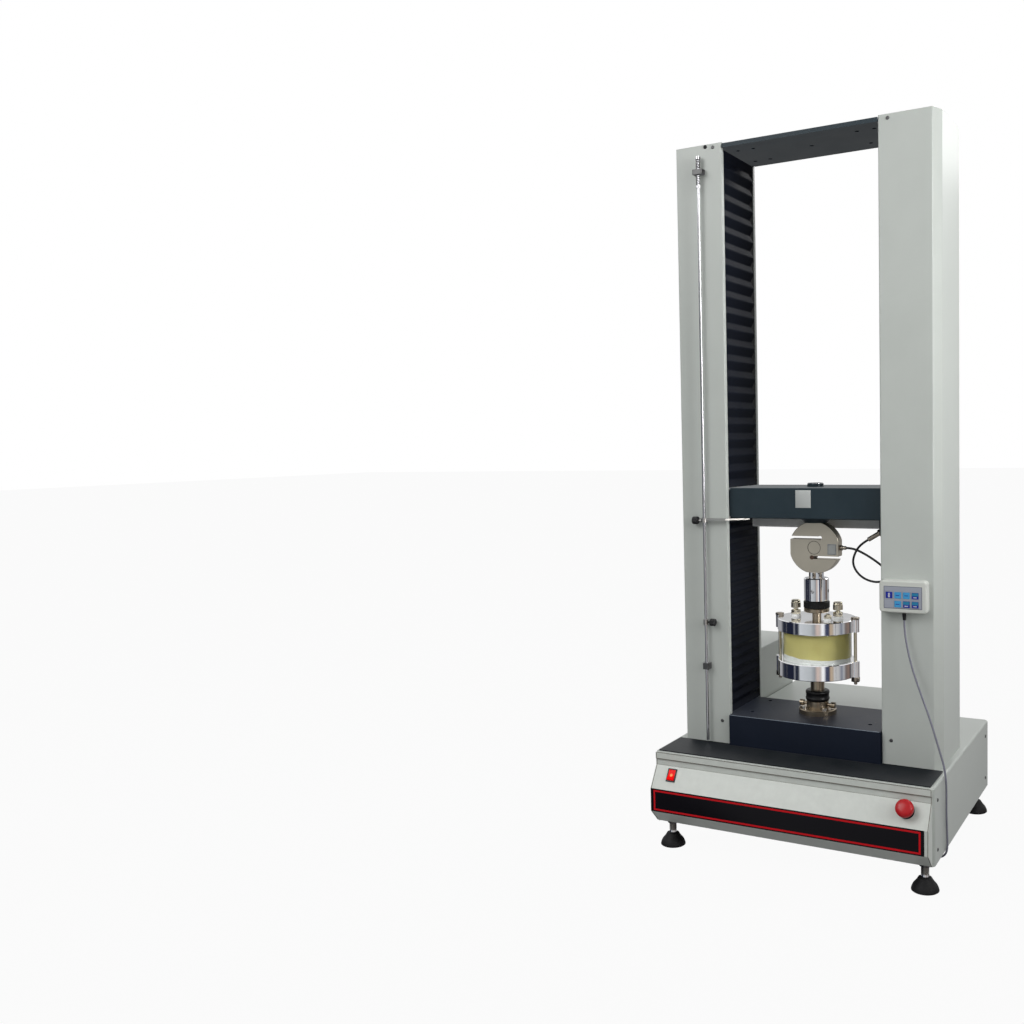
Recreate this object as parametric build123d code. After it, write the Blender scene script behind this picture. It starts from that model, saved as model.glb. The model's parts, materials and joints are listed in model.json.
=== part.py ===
from build123d import *
from math import pi, radians, sqrt, tan
import os

# All sizes are in millimetres. X runs left to right, Y front to back, Z up.
# The load line stands at x = 0, y = 0, in the middle of the columns' depth.

# Base cabinet
base_width = 676
base_depth = 610
base_bottom = 67
base_height = 173
column_setback = 123
sheet = 2
cheek_radius = 12
cheek_return = 10
top_edge_radius = 5
nose_reach = 34
panel_end_gap = 4
lip_height = 16
lip_proud = 4
slant_drop = 32
nose_top_drop = 82
nose_height = 56
mat_thickness = 2.5
mat_margin = 5
hump_height = 60
hump_half_width = 198
hump_margin = 5
vent_count = 7
vent_length = 56
vent_height = 5

# Columns and the fixed table
clear_gap = 380
column_width = 133
column_depth = 208
column_height = 1463
chamfer_across = 13
chamfer_along = 36
return_flange = 12
table_height = 77
table_proud = 10
table_rear_inset = 18
table_fit = 1
table_hole_radius = 5.1
table_hole_depth = 30
table_holes_x = 150
table_holes_y = 60
crown_thickness = 10
crown_gap = 3
crown_hole_radius = 5
crown_holes_x = (128, 168)
crown_holes_y = 55

# Screws, guides and drive
drive_x = 252
screw_y = -38
screw_radius = 16
guide_y = 40
guide_radius = 20
guide_socket = 40
running_gap = 0.05
bearing_radius = 33
bearing_height = 28
pulley_radius = 40
pulley_width = 24
pulley_bottom = 190
motor_y = 150
motor_pulley_radius = 22
motor_size = 96
motor_shaft_radius = 9
belt_width = 20
belt_thickness = 3
belt_gap = 0.3
web_thickness = 12
front_web_y = -95
rear_web_y = 72
plate_thickness = 3

# Crosshead and load train, at the height where the crosshead stands at rest
crosshead_bottom = 802
crosshead_height = 74
crosshead_depth = 176
crosshead_reach = 300
rail_height = 32
plug_x = 166
plug_y = 5
plug_drop = 32
plug_radius = 8.5
plug_head = 12
plug_barrel = 30
rail_depth = 36
boss_height = 14
boss_top_radius = 40
boss_bottom_radius = 28
bolt_head_radius = 19
bolt_head_height = 8
bolt_radius = 10
stud_radius = 8
stud_depth = 18
cell_flat = 61
cell_disc_radius = 64
cell_thickness = 30
slot_height = 7.5
slot_offset = 24
upper_slot_end = 15
lower_slot_end = -6
lock_nut_across = 32
lock_nut_height = 14
adaptor_radius = 30.5
adaptor_height = 57
adaptor_neck_radius = 22
lock_ring_radius = 32
lock_ring_height = 17
piston_cap_radius = 31
piston_cap_height = 10
piston_radius = 11
piston_length = 86
nut_radius = 25
bush_radius = 28

# Test cell
flange_radius = 96
top_flange_thickness = 30
bottom_flange_thickness = 38
window_radius = 84
window_wall = 6
window_height = 72
packing_height = 18
tie_rod_offset = 97
tie_rod_radius = 4
lug_radius = 10
tie_nut_height = 8
post_radius = 17
valve_offset = 54
valve_radius = 9
valve_body_height = 16
valve_neck_height = 5
valve_knob_radius = 10.5
valve_knob_height = 20
seat_flange_radius = 46
seat_flange_thickness = 12
hub_radius = 27
hub_height = 18
lock_collar_radius = 29.5
lock_collar_height = 26
lock_collar_gap = 1
post_clear_length = 40

# Limit rod on the left column
limit_rod_x = -247
limit_rod_radius = 3.5
limit_rod_standoff = 11
limit_rod_bottom = 248
limit_rod_top = 1676
clamp_width = 26
clamp_height = 12
guide_size = 16
upper_bracket_z = 1638
guide_bracket_z = 435
stop_collar_z = 545
trip_arm_thickness = 4
trip_arm_width = 10

# Panel controls, measured on the slanted panel
controls_z = 189
rocker_x = -286
rocker_width = 23
rocker_length = 32
rocker_tilt = 9
estop_x = 282
estop_head_radius = 20
estop_head_height = 16
estop_lift = 13

# Keypad on the right column
keypad_width = 107
keypad_height = 73
keypad_thickness = 25
keypad_right = 300
keypad_top = 671
key_size = (15, 14.5)
key_pitch = (19.5, 20)
key_thickness = 5
key_travel = 0.8
key_gap = 0.3
first_key_from_left = 23
first_key_from_top = 33
keypad_corner = 9
strain_relief_length = 17

# Electronics box behind the left column
control_box_inset = 12
control_box_width = 126
control_box_rear_inset = 23
control_box_height = 200
inlet_height = 45
inlet_width = 44

# Bellows
bellows_inset = 4
bellows_depth = 20
bellows_skin = 1.2
bellows_half_width = 98
upper_pleats = 21
lower_pleats = 18
bellows_end_gap = 0.3

# Feet
foot_inset_x = 28
foot_inset_y = 34
foot_radius = 30.5
bell_height = 46
foot_stem_radius = 6
foot_nut_across = 19

# Cords
cell_cable_diameter = 5.5
keypad_cord_diameter = 4.6

# Places worked out from the sizes above
base_top = base_bottom + base_height
column_front = -column_depth / 2
base_front = column_front - column_setback
base_rear = base_front + base_depth
column_inner = clear_gap / 2
column_outer = column_inner + column_width
column_top = base_top + column_height
table_top = base_top + table_height
table_front = column_front - table_proud
table_rear = column_depth / 2 - table_rear_inset
crown_top = column_top - crown_gap
crown_bottom = crown_top - crown_thickness
crosshead_top = crosshead_bottom + crosshead_height
opening_half = column_depth / 2 - return_flange
panel_half = base_width / 2 - panel_end_gap
nose_y = base_front - nose_reach
slant_top = base_top - slant_drop
slant_bottom = base_top - nose_top_drop
lip_step = 1.5
cell_top = crosshead_bottom - boss_height
cell_centre_z = cell_top - cell_flat
lock_nut_top = cell_centre_z - cell_flat
adaptor_top = lock_nut_top - lock_nut_height
adaptor_bottom = adaptor_top - adaptor_height
lock_ring_bottom = adaptor_bottom - lock_ring_height
piston_top = lock_ring_bottom
piston_bottom = piston_top - piston_cap_height - piston_length
seat_top = table_top + seat_flange_thickness
hub_top = seat_top + hub_height
flange_seat = hub_top + lock_collar_gap + lock_collar_height + post_clear_length
window_bottom = flange_seat + bottom_flange_thickness
window_top = window_bottom + window_height
cell_flange_top = window_top + top_flange_thickness
limit_rod_y = column_front - limit_rod_standoff
control_box_left = -base_width / 2 + control_box_inset
control_box_right = control_box_left + control_box_width
control_box_rear = base_rear - control_box_rear_inset
keypad_left = keypad_right - keypad_width
keypad_bottom = keypad_top - keypad_height
keypad_front = column_front - keypad_thickness
keypad_middle_y = (keypad_front + column_front) / 2
cord_exit_x = keypad_left + keypad_width / 2 + 0.5
foot_x = base_width / 2 - foot_inset_x
foot_front_y = base_front + foot_inset_y
foot_rear_y = base_rear - foot_inset_y


def block(x0, x1, y0, y1, z0, z1):
    """A box between two corners."""
    centre = Pos((x0 + x1) / 2, (y0 + y1) / 2, (z0 + z1) / 2)
    return centre * Box(x1 - x0, y1 - y0, z1 - z0)


def rod(radius, z0, z1, x=0, y=0):
    """An upright cylinder."""
    return Pos(x, y, (z0 + z1) / 2) * Cylinder(radius, z1 - z0)


def ring(outer, inner, z0, z1, x=0, y=0):
    """An upright tube."""
    return rod(outer, z0, z1, x, y) - rod(inner, z0 - 1, z1 + 1, x, y)


def hexagon(across, z0, z1, x=0, y=0):
    """A hexagonal nut blank, by its size across flats."""
    outline = RegularPolygon(across / sqrt(3), 6)
    return extrude(Pos(x, y, z0) * outline, z1 - z0)


def along_x(radius, x0, x1, y, z):
    """A cylinder lying along X."""
    return Pos((x0 + x1) / 2, y, z) * Rot(0, 90, 0) * Cylinder(radius, abs(x1 - x0))


def along_y(radius, y0, y1, x, z):
    """A cylinder lying along Y."""
    return Pos(x, (y0 + y1) / 2, z) * Rot(90, 0, 0) * Cylinder(radius, abs(y1 - y0))


def group(*pieces):
    """Separate solids that share one node."""
    return Compound([solid for piece in pieces for solid in piece.solids()])


def both_sides(part):
    """A piece on the right and its mirror image on the left."""
    return group(part, mirror(part, Plane.YZ))


def panel_plane(x):
    """The slanted panel's outer face, at the height of its controls."""
    fall = slant_top - slant_bottom
    run = nose_reach - lip_step
    y = base_front - lip_step - (slant_top - controls_z) * run / fall
    return Plane(origin=(x, y, controls_z), x_dir=(1, 0, 0), z_dir=(0, -fall, run))


def cord_radii(points):
    """One bend radius for each inner point of a cord's route."""
    radii = []
    for before, here, after in zip(points, points[1:], points[2:]):
        first = Vector(*here) - Vector(*before)
        second = Vector(*after) - Vector(*here)
        half_turn = radians(first.get_angle(second) / 2)
        radii.append(0.45 * min(first.length, second.length) / tan(half_turn))
    return radii


def cord(points, diameter):
    """A round cord along straight runs joined by arcs."""
    radii = cord_radii(points)
    path = FilletPolyline(*points, radius=radii)
    start = Plane(origin=path @ 0, z_dir=path % 0)
    tube = sweep(start * Circle(diameter / 2), path=path)
    section = pi * diameter ** 2 / 4
    print("cord length", round(path.length, 1), "volume ratio", round(tube.volume / section / path.length, 4))
    print("tightest bend", round(min(radii), 1))
    return tube


# Base cabinet

def hump_block(wall):
    """Raised cover over the drive, wider behind the columns than between them."""
    rear = base_rear - hump_margin - wall
    top = base_top + hump_height - wall
    between = column_inner - 2 - wall
    behind = hump_half_width - wall
    front = block(-between, between, table_rear + 2 + wall, rear, base_top - sheet - wall, top)
    return front + block(-behind, behind, column_depth / 2 + 1 + wall, rear, base_top - sheet - wall, top)


def base_shell():
    """Folded cover of the base: top, back and both cheeks, with the raised drive cover."""
    body = block(-base_width / 2, base_width / 2, base_front, base_rear, base_bottom, base_top)
    body = fillet(body.edges().filter_by(Axis.Z), cheek_radius)
    body = fillet(body.faces().sort_by(Axis.Z)[-1].edges(), top_edge_radius)
    hump = fillet(hump_block(0).faces().sort_by(Axis.Z)[-1].edges(), top_edge_radius - 1)
    inside = block(-base_width / 2 + sheet, base_width / 2 - sheet, base_front + sheet, base_rear - sheet,
                   base_bottom - 1, base_top - sheet)
    inside = fillet(inside.edges().filter_by(Axis.Z), cheek_radius - sheet)
    shell = body + hump - inside - hump_block(sheet)
    mouth = base_width / 2 - cheek_return
    shell -= block(-mouth, mouth, base_front - 1, base_front + sheet + 1, base_bottom - 1, base_top - sheet)
    for side in (-1, 1):
        shell -= rod(screw_radius + 4, base_top - 10, base_top + 10, side * drive_x, screw_y)
    for row in range(vent_count):
        z = base_bottom + 45 + row * 2.4 * vent_height
        for x in (-200, 200):
            shell -= block(x - vent_length / 2, x + vent_length / 2, base_rear - 10, base_rear + 1,
                           z, z + vent_height)
    return shell


def front_panel():
    """Folded front with its lip, slanted control face, upright nose and tucked-under foot."""
    lip_y = base_front - lip_proud
    face_y = base_front - lip_step
    foot_z = base_bottom + sheet
    nose_bottom = slant_bottom - nose_height
    profile = [(base_front, base_top - sheet), (lip_y, base_top - sheet), (lip_y, base_top - lip_height),
               (face_y, base_top - lip_height - lip_step), (face_y, slant_top), (nose_y, slant_bottom),
               (nose_y, nose_bottom), (face_y, foot_z), (base_front, foot_z)]
    outline = make_face(Polyline(*profile, close=True))
    corners = outline.vertices().group_by(Axis.X)[0]
    outline = fillet(corners, 3)
    outline = Plane.YZ * outline
    hollow = [(face_y - 1, slant_top - 2 * sheet), (nose_y + sheet, slant_bottom - sheet / 2),
              (nose_y + sheet, nose_bottom + sheet / 2), (face_y - 1, foot_z + 2 * sheet),
              (base_front + 1, foot_z + 2 * sheet), (base_front + 1, slant_top - 2 * sheet)]
    hollow = Plane.YZ * make_face(Polyline(*hollow, close=True))
    panel = extrude(outline, panel_half, both=True) - extrude(hollow, panel_half - sheet, both=True)
    panel -= panel_plane(rocker_x) * Box(rocker_width - 4, rocker_length - 4, 20)
    panel -= panel_plane(estop_x) * Cylinder(11, 20)
    return panel


def top_mat():
    """Rubber mat on the base, notched round the table."""
    edge = panel_half - mat_margin
    mat_top = base_top + mat_thickness
    mat = block(-edge, edge, base_front + mat_margin, column_front - 1, base_top, mat_top)
    notch = column_inner - table_fit + 1
    return mat - block(-notch, notch, table_front - 1, column_front, base_top - 1, mat_top + 1)


def foot_places():
    return [(x, y) for y in (foot_front_y, foot_rear_y) for x in (-foot_x, foot_x)]


def base_frame():
    """Bottom plate with two webs that carry the table, and a threaded boss over each foot."""
    inset = sheet + 0.5
    frame = block(-base_width / 2 + inset, base_width / 2 - inset, base_front + inset, base_rear - inset,
                  base_bottom, base_bottom + plate_thickness)
    frame = fillet(frame.edges().filter_by(Axis.Z), cheek_radius)
    floor = base_bottom + plate_thickness
    reach = crosshead_reach
    half = web_thickness / 2
    for y in (front_web_y, rear_web_y):
        frame += block(-reach, reach, y - half, y + half, floor - 0.5, base_top - sheet)
    frame -= block(-reach + 60, reach - 60, rear_web_y - web_thickness, rear_web_y + web_thickness,
                   pulley_bottom - 10, pulley_bottom + pulley_width + 10)
    for x, y in foot_places():
        frame += rod(2.5 * foot_stem_radius, floor - 0.5, floor + 20, x, y)
        frame -= rod(foot_stem_radius + running_gap, base_bottom - 1, floor + 21, x, y)
    return frame


def control_box():
    """Electronics box behind the left column, open below, with vents in its back."""
    front = column_depth / 2 + 1
    top = base_top + control_box_height
    box = block(control_box_left, control_box_right, front, control_box_rear, base_top, top)
    box = fillet(box.edges().filter_by(Axis.Z), 4)
    box = fillet(box.faces().sort_by(Axis.Z)[-1].edges(), 3)
    box -= block(control_box_left + sheet, control_box_right - sheet, front + sheet,
                 control_box_rear - sheet, base_top - 1, top - sheet)
    middle = (control_box_left + control_box_right) / 2
    for row in range(vent_count):
        z = top - 30 - row * 2.4 * vent_height
        box -= block(middle - vent_length / 2, middle + vent_length / 2, control_box_rear - sheet - 1,
                     control_box_rear + 1, z, z + vent_height)
    return box - inlet_hole()


def inlet_hole():
    """Hole for the mains inlet, through the back of the electronics box."""
    middle = (control_box_left + control_box_right) / 2
    z = base_top + inlet_height
    half = inlet_width / 2
    return block(middle - half, middle + half, control_box_rear - 24, control_box_rear + 1, z - 12, z + 12)


def power_inlet():
    """Mains inlet with its flange, recess and three blades."""
    middle = (control_box_left + control_box_right) / 2
    z = base_top + inlet_height
    rear, half = control_box_rear, inlet_width / 2 - 0.2
    body = block(middle - half, middle + half, rear - 22, rear + 0.2, z - 11.8, z + 11.8)
    flange = block(middle - half - 7, middle + half + 7, rear, rear + 3, z - 15, z + 15)
    flange = fillet(flange.edges().filter_by(Axis.Y), 4)
    socket = block(middle - 12, middle + 12, rear - 14, rear + 4, z - 8, z + 8)
    socket = chamfer(socket.edges().filter_by(Axis.Y).group_by(Axis.Z)[-1], 4)
    inlet = body + flange - socket
    for x, blade_z in ((-7, z - 1), (0, z + 2), (7, z - 1)):
        inlet += block(middle + x - 1, middle + x + 1, rear - 16, rear - 3, blade_z - 2, blade_z + 2)
    return inlet


# Table, crown and columns

def stepped_slab(front, rear, z0, z1, reach):
    """A slab that fills the gap between the columns and narrows to pass into both of them."""
    half = column_inner - table_fit
    ends_front = max(front, -opening_half + 2)
    ends_rear = min(rear, opening_half - 2)
    return block(-half, half, front, rear, z0, z1) + block(-reach, reach, ends_front, ends_rear, z0, z1)


def lower_block():
    """Fixed table, with tapped holes and the seats of screws and guides."""
    table = stepped_slab(table_front, table_rear, base_top, table_top, crosshead_reach + 5)
    table = chamfer(table.faces().sort_by(Axis.Z)[-1].edges(), 1.5)
    for x in (-drive_x, drive_x):
        table -= rod(screw_radius + 4, base_top - 1, table_top + 1, x, screw_y)
        table -= rod(guide_radius + running_gap, table_top - guide_socket, table_top + 1, x, guide_y)
    for x in (-table_holes_x, table_holes_x):
        for y in (-table_holes_y, table_holes_y):
            table -= rod(table_hole_radius, table_top - table_hole_depth, table_top + 1, x, y)
    return table


def top_plate():
    """Crown plate that ties the two columns together."""
    depth = column_depth / 2
    plate = stepped_slab(-depth, depth, crown_bottom, crown_top, crosshead_reach)
    plate -= rod(crown_hole_radius, crown_bottom - 1, crown_top + 1)
    for x in crown_holes_x:
        for side in (-1, 1):
            for y in (-crown_holes_y, crown_holes_y):
                plate -= rod(crown_hole_radius, crown_bottom - 1, crown_top + 1, side * x, y)
    return plate


def column_outline():
    """Plan of the right column cover, with its chamfered outer front corner."""
    half = column_depth / 2
    corners = [(column_inner, -half), (column_outer - chamfer_across, -half),
               (column_outer, -half + chamfer_along), (column_outer, half), (column_inner, half)]
    return fillet(make_face(Polyline(*corners, close=True)).vertices(), 3)


def column_cover():
    """Right column cover: folded sheet, open towards the crosshead, closed on top."""
    outer = column_outline()
    wall = outer - offset(outer, -sheet)
    cover = extrude(Pos(0, 0, base_top) * wall, column_height - sheet)
    cover += extrude(Pos(0, 0, column_top - sheet) * outer, sheet)
    cover -= block(column_inner - 1, column_inner + 2 * sheet, -opening_half, opening_half,
                   base_top - 1, column_top - sheet)
    return cover


def guides_and_bearings():
    """Two guide rods and the bearing housings at both ends of the screws."""
    right = [rod(guide_radius, table_top - guide_socket, crown_bottom, drive_x, guide_y)]
    bore = screw_radius + running_gap
    for z in (table_top, crown_bottom - bearing_height):
        right.append(ring(bearing_radius, bore, z, z + bearing_height, drive_x, screw_y))
    return group(*[both_sides(piece) for piece in right])


def ball_screw(side):
    """One screw with its toothed-belt pulley."""
    x = side * drive_x
    screw = rod(screw_radius, pulley_bottom - 5, crown_bottom - 2, x, screw_y)
    pulley_top = pulley_bottom + pulley_width
    pulley = ring(pulley_radius, screw_radius + running_gap, pulley_bottom, pulley_top, x, screw_y)
    return group(screw, pulley)


def drive_motor():
    """Motor that stands on the bottom plate, with its flange and shaft."""
    floor = base_bottom + plate_thickness
    top = pulley_bottom - 8
    half = motor_size / 2
    body = block(-half, half, motor_y - half, motor_y + half, floor, top)
    body = chamfer(body.edges().filter_by(Axis.Z), 12)
    body += block(-half - 8, half + 8, motor_y - half - 8, motor_y + half + 8, floor, floor + 10)
    return body + rod(24, top, top + 3, 0, motor_y)


def motor_pulley():
    """Small pulley on the motor's shaft."""
    shaft = rod(motor_shaft_radius, pulley_bottom - 4.7, pulley_bottom + pulley_width + 3, 0, motor_y)
    return shaft + rod(motor_pulley_radius, pulley_bottom, pulley_bottom + pulley_width, 0, motor_y)


def belt_outline(grow):
    """The belt's plan: a tight loop round three pulleys."""
    rounds = [Pos(x, screw_y) * Circle(pulley_radius + grow) for x in (-drive_x, drive_x)]
    rounds.append(Pos(0, motor_y) * Circle(motor_pulley_radius + grow))
    edges = [edge for circle in rounds for edge in circle.edges()]
    return make_hull(edges)


def drive_belt():
    bottom = pulley_bottom + (pulley_width - belt_width) / 2
    loop = belt_outline(belt_gap + belt_thickness) - belt_outline(belt_gap)
    return extrude(Pos(0, 0, bottom) * loop, belt_width)


def bellows(low, high, pleats):
    """A pleated curtain on each side, across the columns' open faces."""
    z0, z1 = low + bellows_end_gap, high - bellows_end_gap
    near = column_inner + bellows_inset
    step = (z1 - z0) / (2 * pleats)
    folds = [(near + (i % 2) * bellows_depth, z0 + i * step) for i in range(2 * pleats + 1)]
    back = [(x + bellows_skin, z) for x, z in reversed(folds)]
    skin = Plane.XZ * make_face(Polyline(*folds, *back, close=True))
    return both_sides(extrude(skin, bellows_half_width, both=True))


# Crosshead and load train

def plug_line():
    """Axis of the load cell's plug, which points up into its socket."""
    place = (plug_x, plug_y, crosshead_bottom - plug_drop)
    return Plane(origin=place, x_dir=(0, 1, 0), z_dir=(0.857, 0, 0.515))


def crosshead_beam():
    """Moving beam, with the boss that carries the load cell and the cable socket."""
    half = crosshead_depth / 2
    inner = column_inner - 2
    beam = block(-inner, inner, -half, half, crosshead_bottom, crosshead_top)
    beam = chamfer(beam.edges().filter_by(Axis.X), 2)
    tongue = half - 4
    beam += block(-crosshead_reach, crosshead_reach, -tongue, tongue, crosshead_bottom + 4, crosshead_top - 4)
    boss = Cone(boss_bottom_radius, boss_top_radius, boss_height)
    beam += Pos(0, 0, crosshead_bottom - boss_height / 2) * boss
    beam += block(plug_x - 6, plug_x + 18, plug_y - 13, plug_y + 13,
                  crosshead_bottom - 40, crosshead_bottom + 1)
    beam -= rod(bolt_radius + running_gap, cell_top - 1, crosshead_top + 1)
    for x in (-drive_x, drive_x):
        beam -= rod(nut_radius + running_gap, crosshead_bottom, crosshead_top, x, screw_y)
        beam -= rod(bush_radius + running_gap, crosshead_bottom, crosshead_top, x, guide_y)
    socket = Cylinder(plug_radius + running_gap, plug_head + 0.1)
    return beam - plug_line() * Pos(0, 0, -plug_head / 2) * socket


def crosshead_rail():
    """Pale stiffening rail under the back of the beam."""
    half = column_inner - 2
    rear = crosshead_depth / 2 - 2
    rail = block(-half, half, rear - rail_depth, rear, crosshead_bottom - rail_height, crosshead_bottom)
    return fillet(rail.edges().filter_by(Axis.X).group_by(Axis.Z)[0], 4)


def nuts_and_bushes():
    """Ball nuts on the screws and bushes on the guide rods."""
    low = crosshead_bottom - 6
    high = crosshead_top + 6
    nut = ring(nut_radius, screw_radius + running_gap, low, high, drive_x, screw_y)
    bush = ring(bush_radius, guide_radius + running_gap, low, high, drive_x, guide_y)
    return group(both_sides(nut), both_sides(bush))


def load_cell():
    """Round S-beam load cell: flats on four sides and two opposed slots."""
    half = cell_thickness / 2
    disc = along_y(cell_disc_radius, -half, half, 0, cell_centre_z)
    square = block(-cell_flat, cell_flat, -half, half, cell_centre_z - cell_flat, cell_centre_z + cell_flat)
    cell = chamfer((disc & square).edges().filter_by(GeomType.CIRCLE), 1)
    upper = cell_centre_z + slot_offset
    lower = cell_centre_z - slot_offset
    for x0, x1, end, z in ((-cell_flat - 5, upper_slot_end, upper_slot_end, upper),
                           (lower_slot_end, cell_flat + 5, lower_slot_end, lower)):
        cell -= block(x0, x1, -half - 1, half + 1, z - slot_height / 2, z + slot_height / 2)
        cell -= along_y(slot_height / 2 + 1.5, -half - 1, half + 1, end, z)
    cell -= rod(bolt_radius + running_gap, cell_top - stud_depth, cell_top + 1)
    cell -= rod(stud_radius + running_gap, lock_nut_top - 1, lock_nut_top + stud_depth)
    cell -= along_y(16.4, -half - 1, -half + 1.2, 0, cell_centre_z)
    return cell + along_y(16, -half + 0.3, -half + 1.2, 0, cell_centre_z)


def cable_gland():
    """Metal gland on the load cell's right flat."""
    body = along_x(6.5, cell_flat, cell_flat + 6, 0, cell_centre_z)
    nose = along_x(4.6, cell_flat + 6, cell_flat + 15, 0, cell_centre_z)
    return body + nose


def cable_connector():
    """Plug on the load cell's cable: knurled barrel and head."""
    head = plug_line() * Pos(0, 0, -plug_head / 2) * Cylinder(plug_radius, plug_head)
    barrel = plug_line() * Pos(0, 0, -plug_head - plug_barrel / 2) * Cylinder(plug_radius - 3, plug_barrel)
    return head + barrel


def cell_cable_route():
    """Loop of the load cell's cable, from its gland to its plug."""
    end = plug_line() * Pos(0, 0, -plug_head - plug_barrel)
    before = plug_line() * Pos(0, 0, -plug_head - plug_barrel - 22)
    return [(cell_flat + 15, 0, cell_centre_z), (92, 0, cell_centre_z), (118, -6, 718), (146, -10, 703),
            (169, -8, 686), (180, -3, 667), (170, 4, 651), (145, 9, 645), (117, 11, 652), (97, 11, 669),
            (88, 10, 692), (96, 8, 717), tuple(before.position), tuple(end.position)]


def load_adaptor():
    """Bolt through the crosshead, lock nut and quick-release adaptor."""
    bolt = rod(bolt_radius, cell_top - stud_depth + 1, crosshead_top) + \
        rod(bolt_head_radius, crosshead_top, crosshead_top + bolt_head_height)
    nut = hexagon(lock_nut_across, adaptor_top, lock_nut_top)
    nut -= rod(stud_radius + running_gap, adaptor_top - 1, lock_nut_top + 1)
    body = chamfer(rod(adaptor_radius, adaptor_bottom, adaptor_top).edges(), 2)
    body += rod(stud_radius, adaptor_top - 1, lock_nut_top + stud_depth - 1)
    body += rod(adaptor_neck_radius, lock_ring_bottom, adaptor_bottom + 1)
    body -= along_x(4, -40, 40, 0, adaptor_bottom + 26)
    body -= along_y(5, -40, 40, 0, adaptor_bottom + 26)
    return group(bolt, nut, body)


def lock_ring():
    """Knurled ring that locks the adaptor."""
    low, high = lock_ring_bottom + 0.3, adaptor_bottom - 0.3
    body = ring(lock_ring_radius, adaptor_neck_radius + running_gap, low, high)
    return chamfer(body.edges().filter_by(GeomType.CIRCLE).group_by(SortBy.RADIUS)[-1], 1.5)


def piston_rod():
    """Loading piston with its cap."""
    cap = rod(piston_cap_radius, piston_top - piston_cap_height, piston_top)
    cap = chamfer(cap.edges(), 1.5)
    shank = rod(piston_radius, piston_bottom, piston_top - 1)
    shank = chamfer(shank.faces().sort_by(Axis.Z)[0].edges(), 1.5)
    return cap + shank


# Test cell

def cell_flange(z0, z1):
    """Round flange with a lug on each side for the tie rods."""
    body = chamfer(rod(flange_radius, z0, z1).edges(), 1.5)
    for side in (-1, 1):
        body += rod(lug_radius, z0, z1, side * tie_rod_offset)
        body -= rod(tie_rod_radius + running_gap, z0 - 1, z1 + 1, side * tie_rod_offset)
    return body


def cell_top_flange():
    return cell_flange(window_top, cell_flange_top) - rod(piston_radius + running_gap, window_top - 1,
                                                          cell_flange_top + 1)


def cell_bottom_flange():
    return cell_flange(flange_seat, window_bottom)


def cell_window():
    """Clear tube between the flanges."""
    return ring(window_radius, window_radius - window_wall, window_bottom, window_top)


def cell_filling():
    """Pale packing at the bottom and liquid above it, round the piston."""
    bore = window_radius - window_wall - running_gap
    packing_top = window_bottom + packing_height
    packing = rod(bore, window_bottom, packing_top)
    liquid = ring(bore, piston_radius + 0.5, packing_top, window_top - 0.5)
    return group(packing, liquid)


def cell_fittings():
    """Tie rods with their nuts, and the bodies of the two valves."""
    pieces = []
    for side in (-1, 1):
        x = side * tie_rod_offset
        tie = rod(tie_rod_radius, flange_seat - tie_nut_height - 3, cell_flange_top + 3, x)
        tie += hexagon(13, flange_seat - tie_nut_height, flange_seat, x)
        tie += hexagon(13, cell_flange_top, cell_flange_top + tie_nut_height - 6, x)
        valve_x = side * valve_offset
        neck_z = cell_flange_top + valve_body_height
        valve = rod(valve_radius, cell_flange_top, neck_z, valve_x)
        valve += rod(4, neck_z - 1, neck_z + valve_neck_height + 8, valve_x)
        pieces += [tie, valve]
    return group(*pieces)


def valve_knob(side):
    """Turning head of a valve, over its fixed spindle."""
    x = side * valve_offset
    bottom = cell_flange_top + valve_body_height + valve_neck_height
    knob = chamfer(rod(valve_knob_radius, bottom, bottom + valve_knob_height, x).edges(), 2)
    return knob - rod(4 + running_gap, bottom - 1, bottom + 9, x)


def cell_stand():
    """Bolted seat on the table, the post that carries the cell, and two thumb screws."""
    seat = rod(seat_flange_radius, table_top, seat_top)
    seat = chamfer(seat.faces().sort_by(Axis.Z)[-1].edges(), 1.5)
    seat += rod(hub_radius, seat_top - 1, hub_top)
    for turn in range(4):
        seat -= Rot(0, 0, 45 + 90 * turn) * Pos(36, 0, 0) * rod(4, table_top - 1, seat_top + 1)
    seat -= rod(post_radius + running_gap, table_top + 4, hub_top + 1)
    post = rod(post_radius, table_top + 4, flange_seat)
    screws = []
    for side in (-1, 1):
        bore = along_x(4, side * 10, side * (hub_radius + 1), 0, hub_top - 9)
        seat -= bore
        shank = along_x(3.9, side * (post_radius + 0.5), side * (hub_radius + 8), 0, hub_top - 9)
        head = along_x(7.5, side * (hub_radius + 8), side * (hub_radius + 18), 0, hub_top - 9)
        screws.append(shank + head)
    return group(seat, post, *screws)


def lock_collar():
    """Round lock nut on the post."""
    low = hub_top + lock_collar_gap
    body = ring(lock_collar_radius, post_radius + running_gap, low, low + lock_collar_height)
    return chamfer(body.edges().filter_by(GeomType.CIRCLE).group_by(SortBy.RADIUS)[-1], 5)


# Limit rod

def limit_rod():
    """Trip rod with a spring collar above and below its bracket."""
    x, y = limit_rod_x, limit_rod_y
    body = rod(limit_rod_radius, limit_rod_bottom, limit_rod_top, x, y)
    for z in (upper_bracket_z + 30, upper_bracket_z - 38):
        body += rod(6, z, z + 6, x, y)
    return body


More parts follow.
